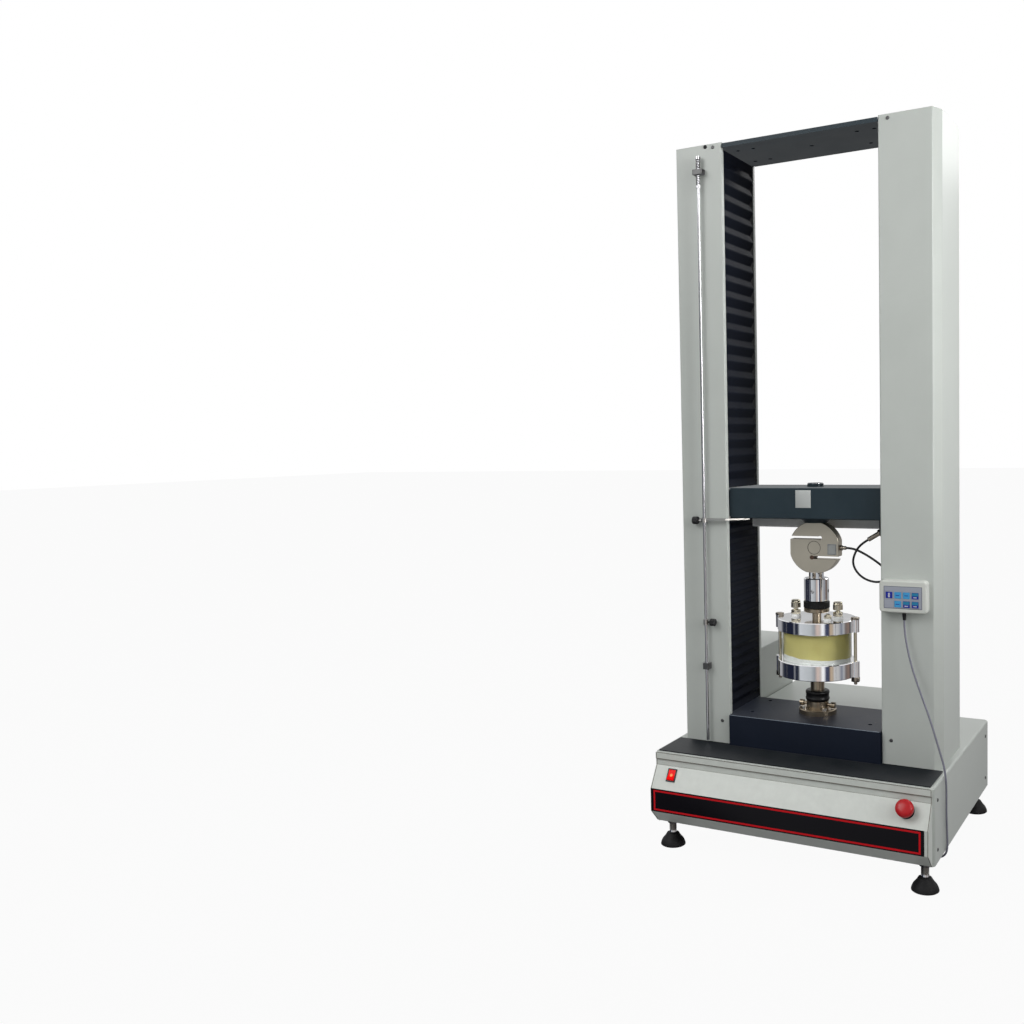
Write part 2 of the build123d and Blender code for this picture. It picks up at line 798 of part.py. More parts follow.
def limit_rod_brackets():
    """Upper clamp and lower guide that hold the rod off the column."""
    bore = limit_rod_radius + 0.3
    pieces = []
    for z, half_width, half_height in ((upper_bracket_z, clamp_width / 2, clamp_height / 2),
                                       (guide_bracket_z, guide_size / 2, guide_size / 2)):
        plate = block(limit_rod_x - half_width, limit_rod_x + half_width, limit_rod_y - 7, column_front,
                      z - half_height, z + half_height)
        plate = fillet(plate.edges().filter_by(Axis.Z).group_by(Axis.Y)[0], 3)
        pieces.append(plate - rod(bore, z - 20, z + 20, limit_rod_x, limit_rod_y))
    return group(*pieces)


def stop_collar():
    """Adjustable stop on the rod."""
    low, high = stop_collar_z - 7, stop_collar_z + 7
    body = ring(6.5, limit_rod_radius + running_gap, low, high, limit_rod_x, limit_rod_y)
    return body - along_x(2.5, limit_rod_x + 4, limit_rod_x + 8, limit_rod_y, stop_collar_z)


def stop_knob():
    """Thumb knob that clamps the stop."""
    grip_start = limit_rod_x + 12
    shank = along_x(2.4, limit_rod_x + limit_rod_radius + 0.6, grip_start, limit_rod_y, stop_collar_z)
    grip = along_x(9, grip_start, grip_start + 14, limit_rod_y, stop_collar_z)
    return shank + chamfer(grip.edges(), 1.5)


def trip_arm():
    """Flat arm from the crosshead that slides along the rod and meets the stops."""
    z0 = crosshead_bottom - trip_arm_thickness
    half = trip_arm_width / 2
    x, y = limit_rod_x, limit_rod_y
    bend_x = -column_inner + 2
    end = (bend_x + 40, y + 40)
    outline = [(x, y - half), (bend_x, y - half), (end[0] + half, end[1]), (end[0] - half, end[1] + half),
               (bend_x - 2, y + half), (x, y + half)]
    arm = extrude(Pos(0, 0, z0) * make_face(Polyline(*outline, close=True)), trip_arm_thickness)
    arm += rod(8, z0 - 5, crosshead_bottom, x, y)
    arm -= rod(limit_rod_radius + 0.5, z0 - 10, crosshead_bottom + 1, x, y)
    shank = along_x(2, x - 20, x - 7.5, y, z0 - 1)
    grip = along_x(6, x - 30, x - 19, y, z0 - 1)
    return arm + shank + grip


# Panel controls

def panel_bezels():
    """Frame of the rocker switch and collar of the stop button."""
    frame = Box(rocker_width, rocker_length, 2.5) - Box(rocker_width - 5, rocker_length - 5, 10)
    frame = Pos(0, 0, 1.25) * frame
    sleeve = Box(rocker_width - 4.2, rocker_length - 4.2, 16) - Box(rocker_width - 5, rocker_length - 5, 20)
    switch = panel_plane(rocker_x) * (frame + Pos(0, 0, -7.9) * sleeve)
    collar = Pos(0, 0, 3) * (Cylinder(15, 6) - Cylinder(8 + running_gap, 8))
    neck = Pos(0, 0, -6) * (Cylinder(10.9, 12.2) - Cylinder(8 + running_gap, 14))
    return group(switch, panel_plane(estop_x) * (collar + neck))


def rocker():
    """Lit rocker, standing pressed at its upper end."""
    half = (rocker_length - 7) / 2
    outline = [(-half, 4.5), (0, 2.2), (half, 4.5), (half - 1, -4), (-half + 1, -4)]
    key = extrude(Plane.YZ * make_face(Polyline(*outline, close=True)), (rocker_width - 5.6) / 2, both=True)
    return panel_plane(rocker_x) * Rot(-rocker_tilt, 0, 0) * key


def estop_stem():
    """Plunger of the stop button, with the spigot its head turns on."""
    stem = Pos(0, 0, (estop_lift - 14) / 2) * Cylinder(8, estop_lift + 14)
    return panel_plane(estop_x) * (stem + Pos(0, 0, estop_lift + 3) * Cylinder(5, 6.2))


def estop_head():
    """Mushroom head of the stop button."""
    r, low, high = estop_head_radius, estop_lift + 0.3, estop_lift + 0.3 + estop_head_height
    profile = [(0, low), (r - 2.5, low), (r, low + 2.5), (r, low + 7), (0.87 * r, high - 3.6),
               (0.55 * r, high - 1), (0.2 * r, high), (0, high)]
    head = revolve(Plane.XZ * make_face(Polyline(*profile, close=True)), Axis.Z)
    head -= Pos(0, 0, low + 2.9) * Cylinder(5 + running_gap, 6.4)
    return panel_plane(estop_x) * head


# Keypad

def key_places():
    """Centres of the seven keys: four above, three below."""
    first_x, first_z = keypad_left + first_key_from_left, keypad_top - first_key_from_top
    upper = [(first_x + i * key_pitch[0], first_z) for i in range(4)]
    lower = [(x, z - key_pitch[1]) for x, z in upper[1:]]
    return upper + lower


def keypad_housing():
    """Moulded keypad case, with a pocket for each key."""
    case = block(keypad_left, keypad_right, keypad_front, column_front, keypad_bottom, keypad_top)
    case = fillet(case.edges().filter_by(Axis.Y), keypad_corner)
    case = fillet(case.faces().sort_by(Axis.Y)[0].edges(), 4)
    bottom = keypad_front - 1 + key_thickness + key_travel + 0.4
    half_x, half_z = key_size[0] / 2 + key_gap, key_size[1] / 2 + key_gap
    for x, z in key_places():
        case -= block(x - half_x, x + half_x, keypad_front - 1, bottom, z - half_z, z + half_z)
    return case


def key(x, z):
    """One push key."""
    half_x, half_z = key_size[0] / 2, key_size[1] / 2
    front = keypad_front - 1
    body = block(x - half_x, x + half_x, front, front + key_thickness, z - half_z, z + half_z)
    return fillet(body.faces().sort_by(Axis.Y)[0].edges(), 0.6)


def keypad_strain_relief():
    """Tapered boot where the cord leaves the keypad."""
    middle_z = keypad_bottom - strain_relief_length / 2
    return Pos(cord_exit_x, keypad_middle_y, middle_z) * Cone(3.4, 5, strain_relief_length)


def keypad_cord_route():
    """Route from the keypad's boot, down over the right cheek and up into the bottom plate."""
    x, y = cord_exit_x, keypad_middle_y
    return [(x, y, keypad_bottom - strain_relief_length), (x, y, keypad_bottom - 38), (252, -119, 529),
            (261, -122, 489), (274, -125, 450), (289, -128, 411), (305, -131, 370), (319, -134, 328),
            (331, -136, 290), (340, -137, 259), (343.5, -136, 226), (343, -133, 190), (342, -129, 154),
            (342, -125, 120), (342.5, -122, 90), (341.5, -120, 64), (330, -118, 49), (315, -117, 50),
            (315, -117, base_bottom)]


# Feet

def levelling_foot(x, y):
    """Rubber bell on a threaded stem with its lock nut."""
    r = foot_radius
    profile = [(0, 0), (r, 0), (r, 3), (0.78 * r, 6), (0.66 * r, 11), (0.57 * r, 19), (0.54 * r, 29),
               (0.5 * r, 37), (0.41 * r, 43), (8, bell_height), (0, bell_height)]
    bell = revolve(Plane.XZ * make_face(Polyline(*profile, close=True)), Axis.Z)
    stem = rod(foot_stem_radius, bell_height, base_bottom + plate_thickness + 19)
    stem += hexagon(foot_nut_across, base_bottom - 9, base_bottom)
    return group(Pos(x, y, 0) * bell, Pos(x, y, 0) * stem)


def build_nodes():
    """Every sub-part by name, in the machine's working position."""
    nodes = {
        "base_shell": base_shell(), "front_panel": front_panel(), "top_mat": top_mat(),
        "base_frame": base_frame(), "control_box": control_box(), "power_inlet": power_inlet(),
        "lower_block": lower_block(), "top_plate": top_plate(),
        "right_column_cover": column_cover(), "left_column_cover": mirror(column_cover(), Plane.YZ),
        "guides_and_bearings": guides_and_bearings(),
        "right_ball_screw": ball_screw(1), "left_ball_screw": ball_screw(-1),
        "drive_motor": drive_motor(), "motor_pulley": motor_pulley(), "drive_belt": drive_belt(),
        "upper_bellows": bellows(crosshead_top, crown_bottom, upper_pleats),
        "lower_bellows": bellows(table_top, crosshead_bottom, lower_pleats),
        "crosshead_beam": crosshead_beam(), "crosshead_rail": crosshead_rail(),
        "nuts_and_bushes": nuts_and_bushes(), "load_cell": load_cell(), "cable_gland": cable_gland(),
        "load_cell_cable": cord(cell_cable_route(), cell_cable_diameter),
        "cable_connector": cable_connector(), "load_adaptor": load_adaptor(), "lock_ring": lock_ring(),
        "piston_rod": piston_rod(), "cell_top_flange": cell_top_flange(),
        "cell_bottom_flange": cell_bottom_flange(), "cell_window": cell_window(),
        "cell_filling": cell_filling(), "cell_fittings": cell_fittings(),
        "left_valve_knob": valve_knob(-1), "right_valve_knob": valve_knob(1),
        "cell_stand": cell_stand(), "lock_collar": lock_collar(),
        "limit_rod": limit_rod(), "limit_rod_brackets": limit_rod_brackets(),
        "stop_collar": stop_collar(), "stop_knob": stop_knob(), "trip_arm": trip_arm(),
        "panel_bezels": panel_bezels(), "power_rocker": rocker(),
        "estop_stem": estop_stem(), "estop_head": estop_head(),
        "keypad_housing": keypad_housing(), "keypad_strain_relief": keypad_strain_relief(),
        "keypad_cord": cord(keypad_cord_route(), keypad_cord_diameter),
    }
    for number, place in enumerate(key_places(), 1):
        nodes["key_" + str(number)] = key(*place)
    names = ("front_left_foot", "front_right_foot", "rear_left_foot", "rear_right_foot")
    for name, place in zip(names, foot_places()):
        nodes[name] = levelling_foot(*place)
    return nodes


# The origin goes on the floor, in the middle of the machine's plan without its cords.

nodes = build_nodes()
boxes = [shape.bounding_box() for name, shape in nodes.items() if name != "keypad_cord"]
middle_y = (min(box.min.Y for box in boxes) + max(box.max.Y for box in boxes)) / 2
to_origin = Pos(0, -middle_y, 0)
os.makedirs("parts", exist_ok=True)
for name, shape in nodes.items():
    export_step(to_origin * shape, "parts/" + name + ".step")
print(len(nodes), "nodes, load line at y =", round(-middle_y, 3))
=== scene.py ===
import json
import math
import bpy
import bmesh
from mathutils import Matrix, Vector, geometry, noise


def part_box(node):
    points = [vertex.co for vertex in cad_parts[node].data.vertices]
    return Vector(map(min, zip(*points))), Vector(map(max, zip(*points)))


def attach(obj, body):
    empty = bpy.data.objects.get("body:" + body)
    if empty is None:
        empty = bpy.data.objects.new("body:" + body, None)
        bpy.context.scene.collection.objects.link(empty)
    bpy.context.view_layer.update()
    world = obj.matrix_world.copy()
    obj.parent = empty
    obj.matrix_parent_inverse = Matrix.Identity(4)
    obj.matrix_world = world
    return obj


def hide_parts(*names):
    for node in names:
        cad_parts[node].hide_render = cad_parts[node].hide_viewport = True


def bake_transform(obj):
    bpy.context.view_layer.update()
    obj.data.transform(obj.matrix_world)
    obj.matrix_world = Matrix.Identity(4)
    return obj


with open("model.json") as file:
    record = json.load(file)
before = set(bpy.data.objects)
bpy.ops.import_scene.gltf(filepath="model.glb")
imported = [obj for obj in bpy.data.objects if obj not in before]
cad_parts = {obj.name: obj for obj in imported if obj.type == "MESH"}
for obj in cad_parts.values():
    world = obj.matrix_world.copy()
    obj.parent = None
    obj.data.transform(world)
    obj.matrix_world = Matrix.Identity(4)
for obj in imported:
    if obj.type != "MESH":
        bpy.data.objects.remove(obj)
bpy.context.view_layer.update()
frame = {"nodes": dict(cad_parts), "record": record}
loadLineY = sum(corner.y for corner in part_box("top_plate")) / 2
print("frame loaded, load line at y", round(loadLineY, 4))


# Places are in millimetres from the load line, as on a drawing of the machine
def place(x, y, z):
    return Vector((x / 1000, loadLineY + y / 1000, z / 1000))


# Shader helpers: each socket is given a constant, or the output that feeds it

def feed(tree, node, sockets):
    for label, value in dict(sockets).items():
        if isinstance(value, bpy.types.NodeSocket):
            tree.links.new(value, node.inputs[label])
        else:
            node.inputs[label].default_value = value


def addNode(tree, kind, sockets=(), **settings):
    node = tree.nodes.new("ShaderNode" + kind)
    for name, value in settings.items():
        setattr(node, name, value)
    feed(tree, node, sockets)
    return node


def reckon(tree, operation, *terms):
    return addNode(tree, "Math", enumerate(terms), operation=operation).outputs[0]


def mixShaders(tree, share, first, second):
    return addNode(tree, "MixShader", {0: share, 1: first.outputs[0], 2: second.outputs[0]}).outputs[0]


def newMaterial(name, sockets=()):
    material = bpy.data.materials.new(name)
    material.use_nodes = True
    shader = material.node_tree.nodes["Principled BSDF"]
    feed(material.node_tree, shader, sockets)
    return material, material.node_tree, shader


# Camera and light

cameraView = {
    "place": (853.9, -2424.5, 992.0),
    "yaw": 28.463, "pitch": 3.834, "roll": -1.225,
    "lens": 36.6, "sensor": 36, "shiftX": -0.1348, "reach": 50,
}


def addCamera():
    yaw, pitch, roll = (math.radians(cameraView[name]) for name in ("yaw", "pitch", "roll"))
    forward = Vector((-math.sin(yaw) * math.cos(pitch), math.cos(yaw) * math.cos(pitch), -math.sin(pitch)))
    level = Vector((math.cos(yaw), math.sin(yaw), 0))
    upward = level.cross(forward)
    right = level * math.cos(roll) + upward * math.sin(roll)
    top = upward * math.cos(roll) - level * math.sin(roll)
    data = bpy.data.cameras.new("camera")
    data.lens, data.sensor_width = cameraView["lens"], cameraView["sensor"]
    data.shift_x, data.clip_end = cameraView["shiftX"], cameraView["reach"]
    camera = bpy.data.objects.new("camera", data)
    turned = Matrix((right, top, -forward)).transposed().to_4x4()
    camera.matrix_world = Matrix.Translation(place(*cameraView["place"])) @ turned
    bpy.context.scene.collection.objects.link(camera)
    bpy.context.scene.camera = camera


studioLamps = {
    "key": {"at": (-1900, -2900, 3300), "size": (2.2, 2.2), "power": 62, "aim": 800, "spread": 180},
    "fill": {"at": (2300, -1300, 2500), "size": (1.8, 1.8), "power": 17, "aim": 800, "spread": 180},
    "side": {"at": (2200, -700, 1500), "size": (0.6, 1.5), "power": 5, "aim": 1350, "spread": 56},
    "back": {"at": (500, 2600, 3100), "size": (2.0, 2.0), "power": 30, "aim": 800, "spread": 180},
}
studioTone = {"world": 0.42, "floor": 0.25, "floorGlow": 0.95, "floorSize": 30}
# What polished metal sees round it: the bearing in degrees and the tone of each wall
roomWalls = [
    (-180, (0.02, 0.024, 0.04)), (-144, (0.012, 0.015, 0.035)), (-140, (0.3, 0.31, 0.33)),
    (-136, (0.014, 0.018, 0.04)), (-127, (0.03, 0.035, 0.05)), (-122, (0.62, 0.65, 0.68)),
    (-90, (0.5, 0.53, 0.55)), (-78, (0.3, 0.32, 0.34)), (-70, (0.66, 0.52, 0.46)),
    (-61, (0.55, 0.5, 0.48)), (-57, (1, 1, 1)), (-51, (0.9, 0.92, 0.95)), (-46, (0.06, 0.07, 0.13)),
    (-36, (0.05, 0.06, 0.1)), (-32, (0.55, 0.42, 0.3)), (-25, (0.45, 0.38, 0.3)), (-20, (0.6, 0.6, 0.6)),
    (-6, (0.5, 0.5, 0.5)), (4, (0.2, 0.22, 0.27)), (12, (0.45, 0.46, 0.48)), (20, (0.18, 0.15, 0.14)),
    (34, (0.25, 0.18, 0.15)), (40, (0.06, 0.06, 0.07)), (52, (0.5, 0.5, 0.5)), (120, (0.34, 0.35, 0.36)),
    (160, (0.4, 0.4, 0.42)), (172, (0.05, 0.055, 0.07)),
]
roomCeiling = {"from": 0.12, "to": 0.26, "tone": (0.95, 0.95, 0.95, 1)}


def addLamps():
    for name, lamp in studioLamps.items():
        data = bpy.data.lights.new(name, "AREA")
        data.energy = lamp["power"]
        data.shape = "RECTANGLE"
        data.size, data.size_y = lamp["size"]
        data.spread = math.radians(lamp["spread"])
        thing = bpy.data.objects.new(name, data)
        thing.location = place(*lamp["at"])
        aim = place(0, 0, lamp["aim"])
        thing.rotation_euler = (aim - thing.location).to_track_quat("-Z", "Y").to_euler()
        bpy.context.scene.collection.objects.link(thing)


def addWorld():
    world = bpy.data.worlds.new("studio")
    bpy.context.scene.world = world
    world.use_nodes = True
    tree = world.node_tree
    tree.nodes.clear()
    seen = addNode(tree, "LightPath").outputs
    straight = reckon(tree, "MAXIMUM", seen["Is Camera Ray"], seen["Is Transmission Ray"])
    # Mirrors see a room with walls of many tones and a pale ceiling
    direction = addNode(tree, "TexCoord").outputs["Generated"]
    bearing = addNode(tree, "TexGradient", {"Vector": direction}, gradient_type="RADIAL")
    walls = addNode(tree, "ValToRGB", {"Fac": bearing.outputs["Fac"]})
    stops = walls.color_ramp.elements
    for stop in stops:
        stop.color = (*roomWalls[0][1], 1)
    for degrees, tone in roomWalls[1:]:
        stops.new((degrees + 180) / 360).color = (*tone, 1)
    height = addNode(tree, "SeparateXYZ", {"Vector": direction}).outputs["Z"]
    raised = addNode(tree, "MapRange", {"Value": height, "From Min": roomCeiling["from"],
                                        "From Max": roomCeiling["to"]})
    room = addNode(tree, "Mix", {"Factor": raised.outputs["Result"], "A": walls.outputs["Color"],
                                 "B": roomCeiling["tone"]}, data_type="RGBA")
    tint = addNode(tree, "Mix", {"Factor": seen["Is Glossy Ray"], "A": (1, 1, 1, 1),
                                 "B": room.outputs["Result"]}, data_type="RGBA")
    soft = addNode(tree, "Background", {"Color": (1, 1, 1, 1), "Strength": studioTone["world"]})
    plain = addNode(tree, "Background", {"Color": tint.outputs["Result"], "Strength": 1})
    share = reckon(tree, "MAXIMUM", straight, seen["Is Glossy Ray"])
    addNode(tree, "OutputWorld", {"Surface": mixShaders(tree, share, soft, plain)})


def addFloor():
    bm = bmesh.new()
    bmesh.ops.create_grid(bm, x_segments=1, y_segments=1, size=studioTone["floorSize"])
    mesh = bpy.data.meshes.new("floor")
    bm.to_mesh(mesh)
    bm.free()
    floor = bpy.data.objects.new("floor", mesh)
    bpy.context.scene.collection.objects.link(floor)
    tone = studioTone["floor"]
    paint, tree, shader = newMaterial("floorPaper", {"Base Color": (tone, tone, tone, 1), "Roughness": 0.9})
    seen = addNode(tree, "LightPath").outputs["Is Camera Ray"]
    share = reckon(tree, "MULTIPLY", seen, studioTone["floorGlow"])
    lit = mixShaders(tree, share, shader, addNode(tree, "Emission"))
    feed(tree, tree.nodes["Material Output"], {"Surface": lit})
    mesh.materials.append(paint)
    floor.visible_glossy = False


addCamera()
addLamps()
addWorld()
addFloor()
bpy.context.scene.view_settings.view_transform = "Standard"
print("camera, lamps and floor are in place")


# Shared effects, each a node group that any material can use

def newGroup(name, inputs, outputs):
    # An input's kind follows from its usual value, and an output named Color is a colour
    group = bpy.data.node_groups.new(name, "ShaderNodeTree")
    for label, value in inputs.items():
        kind = {3: "Vector", 4: "Color"}[len(value)] if isinstance(value, tuple) else "Float"
        socket = group.interface.new_socket(label, in_out="INPUT", socket_type="NodeSocket" + kind)
        socket.default_value = value
    for label in outputs:
        kind = "Color" if label == "Color" else "Float"
        group.interface.new_socket(label, in_out="OUTPUT", socket_type="NodeSocket" + kind)
    return group, group.nodes.new("NodeGroupInput").outputs, group.nodes.new("NodeGroupOutput")


def makeGrainGroup():
    # Slow drift of tone, fine grain for bumps, and a little change in gloss
    group, inside, outside = newGroup(
        "fineGrain", {"Color": (0.5, 0.5, 0.5, 1), "Drift": 0.06, "Drift Scale": 6, "Grain Scale": 900,
                      "Roughness": 0.4, "Gloss Change": 0.1}, ("Color", "Roughness", "Height"))
    where = addNode(group, "TexCoord").outputs["Object"]
    drift = addNode(group, "TexNoise", {"Vector": where, "Scale": inside["Drift Scale"], "Detail": 4,
                                        "Roughness": 0.6})
    grain = addNode(group, "TexNoise", {"Vector": where, "Scale": inside["Grain Scale"], "Detail": 2})
    centred = reckon(group, "SUBTRACT", drift.outputs["Fac"], 0.5)
    level = reckon(group, "MULTIPLY_ADD", reckon(group, "MULTIPLY", centred, inside["Drift"]), 4, 1)
    shade = addNode(group, "VectorMath", {0: inside["Color"], "Scale": level}, operation="SCALE")
    gloss = reckon(group, "MULTIPLY_ADD", centred, inside["Gloss Change"], inside["Roughness"])
    feed(group, outside, {"Color": shade.outputs["Vector"], "Roughness": gloss,
                          "Height": grain.outputs["Fac"]})
    return group


def makeTurningGroup():
    # Fine rings left by a lathe, along one axis, with streaks that run round the piece
    group, inside, outside = newGroup("latheMarks", {"Stretch": (30, 30, 2500), "Streak": 0.08},
                                      ("Height", "Streaks"))
    where = addNode(group, "TexCoord").outputs["Object"]
    scaled = addNode(group, "VectorMath", {0: where, 1: inside["Stretch"]}, operation="MULTIPLY")
    marks = addNode(group, "TexNoise", {"Vector": scaled.outputs["Vector"], "Scale": 1, "Detail": 3})
    streaks = reckon(group, "MULTIPLY", marks.outputs["Fac"], inside["Streak"])
    feed(group, outside, {"Height": marks.outputs["Fac"], "Streaks": streaks})
    return group


def makeWeaveGroup():
    # Plain weave of coated cloth, on the object's own axes
    group, inside, outside = newGroup("coatedWeave", {"Threads": 900}, ("Height",))
    where = addNode(group, "TexCoord").outputs["Object"]
    waves = [addNode(group, "TexWave", {"Vector": where, "Scale": inside["Threads"]}, wave_type="BANDS",
                     bands_direction=direction).outputs["Fac"] for direction in ("Y", "Z")]
    feed(group, outside, {"Height": reckon(group, "MULTIPLY", *waves)})
    return group


def makeDustGroup():
    # Patches of dust, thicker on faces that look up
    group, inside, outside = newGroup(
        "lightDust", {"Color": (0.1, 0.1, 0.1, 1), "Dust Color": (0.4, 0.39, 0.36, 1), "Amount": 0.1},
        ("Color", "Mask"))
    where = addNode(group, "TexCoord").outputs
    facing = addNode(group, "SeparateXYZ", {"Vector": where["Normal"]}).outputs["Z"]
    patches = addNode(group, "TexNoise", {"Vector": where["Object"], "Scale": 18, "Detail": 6,
                                          "Roughness": 0.7}).outputs["Fac"]
    upward = addNode(group, "MapRange", {"Value": facing, "From Min": -0.2, "To Min": 0.35})
    sharp = addNode(group, "MapRange", {"Value": patches, "From Min": 0.35, "From Max": 0.75})
    both = reckon(group, "MULTIPLY", upward.outputs["Result"], sharp.outputs["Result"])
    amount = reckon(group, "MULTIPLY", both, inside["Amount"])
    mixed = addNode(group, "Mix", {"Factor": amount, "A": inside["Color"], "B": inside["Dust Color"]},
                    data_type="RGBA")
    feed(group, outside, {"Color": mixed.outputs["Result"], "Mask": amount})
    return group


effects = {"grain": makeGrainGroup(), "turning": makeTurningGroup(), "weave": makeWeaveGroup(),
           "dust": makeDustGroup()}
print("shared effects built")


# Materials

def addEffect(tree, name, sockets):
    return addNode(tree, "Group", sockets, node_tree=effects[name]).outputs


def addBump(tree, shader, height, strength, distance):
    bump = addNode(tree, "Bump", {"Height": height, "Strength": strength, "Distance": distance})
    feed(tree, shader, {"Normal": bump.outputs["Normal"]})


# Paints and mouldings: colour, slow drift of tone and its scale, grain scale, roughness, bump strength and
# distance, dust and specular level
paintLooks = {
    "paleEnamel": ((0.5, 0.53, 0.5), 0.03, 9, 420, 0.36, 0.12, 0.0004, 0.03, 0.4),
    "speckledEnamel": ((0.62, 0.65, 0.61), 0.05, 45, 260, 0.34, 0.2, 0.0006, 0.03, 0.4),
    "slateEnamel": ((0.014, 0.027, 0.036), 0.12, 12, 380, 0.42, 0.14, 0.0004, 0.02, 0.25),
    "tableSlate": ((0.0075, 0.0115, 0.0225), 0.14, 10, 420, 0.42, 0.14, 0.0004, 0.01, 0.14),
    # Partly the rail's own pale grey, partly painted light: near white so the shaded rail under the
    # crosshead looks lit
    "railGreyLit": ((0.86, 0.88, 0.88), 0.06, 14, 380, 0.42, 0.12, 0.0004, 0.03, 0.4),
    "blackFrame": ((0.015, 0.015, 0.016), 0.1, 12, 500, 0.55, 0.15, 0.0004, 0.04, 0.3),
    "blackRubber": ((0.008, 0.008, 0.009), 0.15, 25, 700, 0.55, 0.25, 0.0005, 0.01, 0.2),
    "matRubber": ((0.01, 0.013, 0.016), 0.2, 8, 1100, 0.5, 0.35, 0.0005, 0.03, 0.25),
    "blackMoulding": ((0.006, 0.006, 0.007), 0.08, 20, 900, 0.36, 0.1, 0.0003, 0.01, 0.25),
    "keypadMoulding": ((0.6, 0.62, 0.58), 0.03, 20, 800, 0.4, 0.12, 0.0003, 0.03, 0.4),
    "redMoulding": ((0.48, 0.008, 0.013), 0.06, 30, 900, 0.24, 0.08, 0.0003, 0.01, 0.3),
    "cordSheath": ((0.2, 0.2, 0.25), 0.05, 20, 900, 0.42, 0.1, 0.0002, 0.02, 0.4),
    "cableSheath": ((0.008, 0.008, 0.009), 0.05, 20, 900, 0.38, 0.1, 0.0002, 0.01, 0.35),
    "whiteNylon": ((0.84, 0.85, 0.83), 0.03, 30, 900, 0.4, 0.08, 0.0002, 0.01, 0.4),
    "stripBlack": ((0.006, 0.005, 0.007), 0.05, 10, 1200, 0.25, 0.03, 0.0002, 0, 0.12),
    "stripRed": ((0.62, 0.006, 0.012), 0.04, 10, 1200, 0.3, 0.03, 0.0002, 0, 0.15),
    "overlayGrey": ((0.34, 0.36, 0.42), 0.03, 30, 1200, 0.3, 0.03, 0.0002, 0.01, 0.3),
    "overlayEdge": ((0.12, 0.13, 0.16), 0.03, 30, 1200, 0.3, 0.03, 0.0002, 0.01, 0.3),
    "keyBlue": ((0.012, 0.025, 0.3), 0.04, 60, 1200, 0.3, 0.05, 0.0002, 0.01, 0.3),
    "keySky": ((0.06, 0.33, 0.64), 0.04, 60, 1200, 0.3, 0.05, 0.0002, 0.01, 0.3),
    "keyTeal": ((0.02, 0.2, 0.36), 0.04, 60, 1200, 0.3, 0.05, 0.0002, 0.01, 0.3),
    "labelGrey": ((0.46, 0.48, 0.47), 0.04, 30, 1200, 0.3, 0.03, 0.0002, 0.01, 0.4),
    # Painted shade for the dark lines along the front panel's lip and slant
    "seamShade": ((0.2, 0.19, 0.165), 0.1, 20, 900, 0.6, 0.1, 0.0003, 0, 0.1),
    # Painted highlight: the pale strip along the table's top front edge
    "edgeHighlightPaint": ((0.22, 0.26, 0.31), 0.2, 60, 900, 0.4, 0.1, 0.0003, 0, 0.3),
    "pottingBrown": ((0.085, 0.045, 0.028), 0.2, 200, 900, 0.5, 0.2, 0.0003, 0.02, 0.4),
}


def makePaint(name):
    color, drift, driftScale, grainScale, roughness, bump, distance, dust, specular = paintLooks[name]
    material, tree, shader = newMaterial(name, {"Specular IOR Level": specular})
    grain = addEffect(tree, "grain", {
        "Color": (*color, 1), "Drift": drift, "Drift Scale": driftScale, "Grain Scale": grainScale,
        "Roughness": roughness, "Gloss Change": 0.12})
    dusty = addEffect(tree, "dust", {"Color": grain["Color"], "Amount": dust})
    feed(tree, shader, {"Base Color": dusty["Color"], "Roughness": grain["Roughness"]})
    addBump(tree, shader, grain["Height"], bump, distance)
    return material


# Metals: colour, roughness, stretch of the lathe marks and their bump
metalLooks = {
    "groundSteel": ((0.42, 0.41, 0.39), 0.3, (40, 40, 1800), 0.1),
    "darkSteel": ((0.10, 0.10, 0.10), 0.36, (60, 60, 900), 0.1),
    "darkNickel": ((0.26, 0.23, 0.19), 0.24, (60, 60, 900), 0.06),
    "bronzedSteel": ((0.30, 0.25, 0.185), 0.26, (60, 60, 1500), 0.1),
    "polishedFlange": ((0.84, 0.84, 0.85), 0.06, (12, 12, 2200), 0.04),
    "brightChrome": ((0.78, 0.78, 0.79), 0.07, (12, 12, 1400), 0.03),
    "rodSteel": ((0.5, 0.5, 0.52), 0.14, (40, 40, 1800), 0.05),
    "satinNickel": ((0.46, 0.42, 0.345), 0.38, (500, 500, 500), 0.22),
    "paleNickel": ((0.56, 0.52, 0.41), 0.2, (40, 40, 1500), 0.06),
}


def makeMetal(name):
    color, roughness, stretch, bump = metalLooks[name]
    material, tree, shader = newMaterial(name, {"Metallic": 1})
    marks = addEffect(tree, "turning", {"Stretch": stretch, "Streak": 0.06})
    grain = addEffect(tree, "grain", {
        "Color": (*color, 1), "Drift": 0.05, "Drift Scale": 25, "Grain Scale": 300,
        "Roughness": roughness, "Gloss Change": 0.05})
    rough = reckon(tree, "ADD", grain["Roughness"], marks["Streaks"])
    feed(tree, shader, {"Base Color": grain["Color"], "Roughness": rough})
    addBump(tree, shader, marks["Height"], bump, 0.0002)
    return material


def makeBellowsCloth():
    # Black coated cloth, dull even where it is seen along its face
    material, tree, shader = newMaterial("bellowsCloth", {"Specular IOR Level": 0.01})
    grain = addEffect(tree, "grain", {"Color": (0.007, 0.0088, 0.0145, 1), "Drift": 0.15, "Drift Scale": 14,
                                      "Grain Scale": 700, "Roughness": 0.5, "Gloss Change": 0.2})
    weave = addEffect(tree, "weave", {"Threads": 260})
    feed(tree, shader, {"Base Color": grain["Color"], "Roughness": grain["Roughness"]})
    addBump(tree, shader, weave["Height"], 0.2, 0.0004)
    return material


def letLightThrough(tree, shader, share):
    # Lamps shine through clear pieces, which block them otherwise
    amount = reckon(tree, "MULTIPLY", addNode(tree, "LightPath").outputs["Is Shadow Ray"], share)
    mixed = mixShaders(tree, amount, shader, addNode(tree, "BsdfTransparent"))
    feed(tree, tree.nodes["Material Output"], {"Surface": mixed})


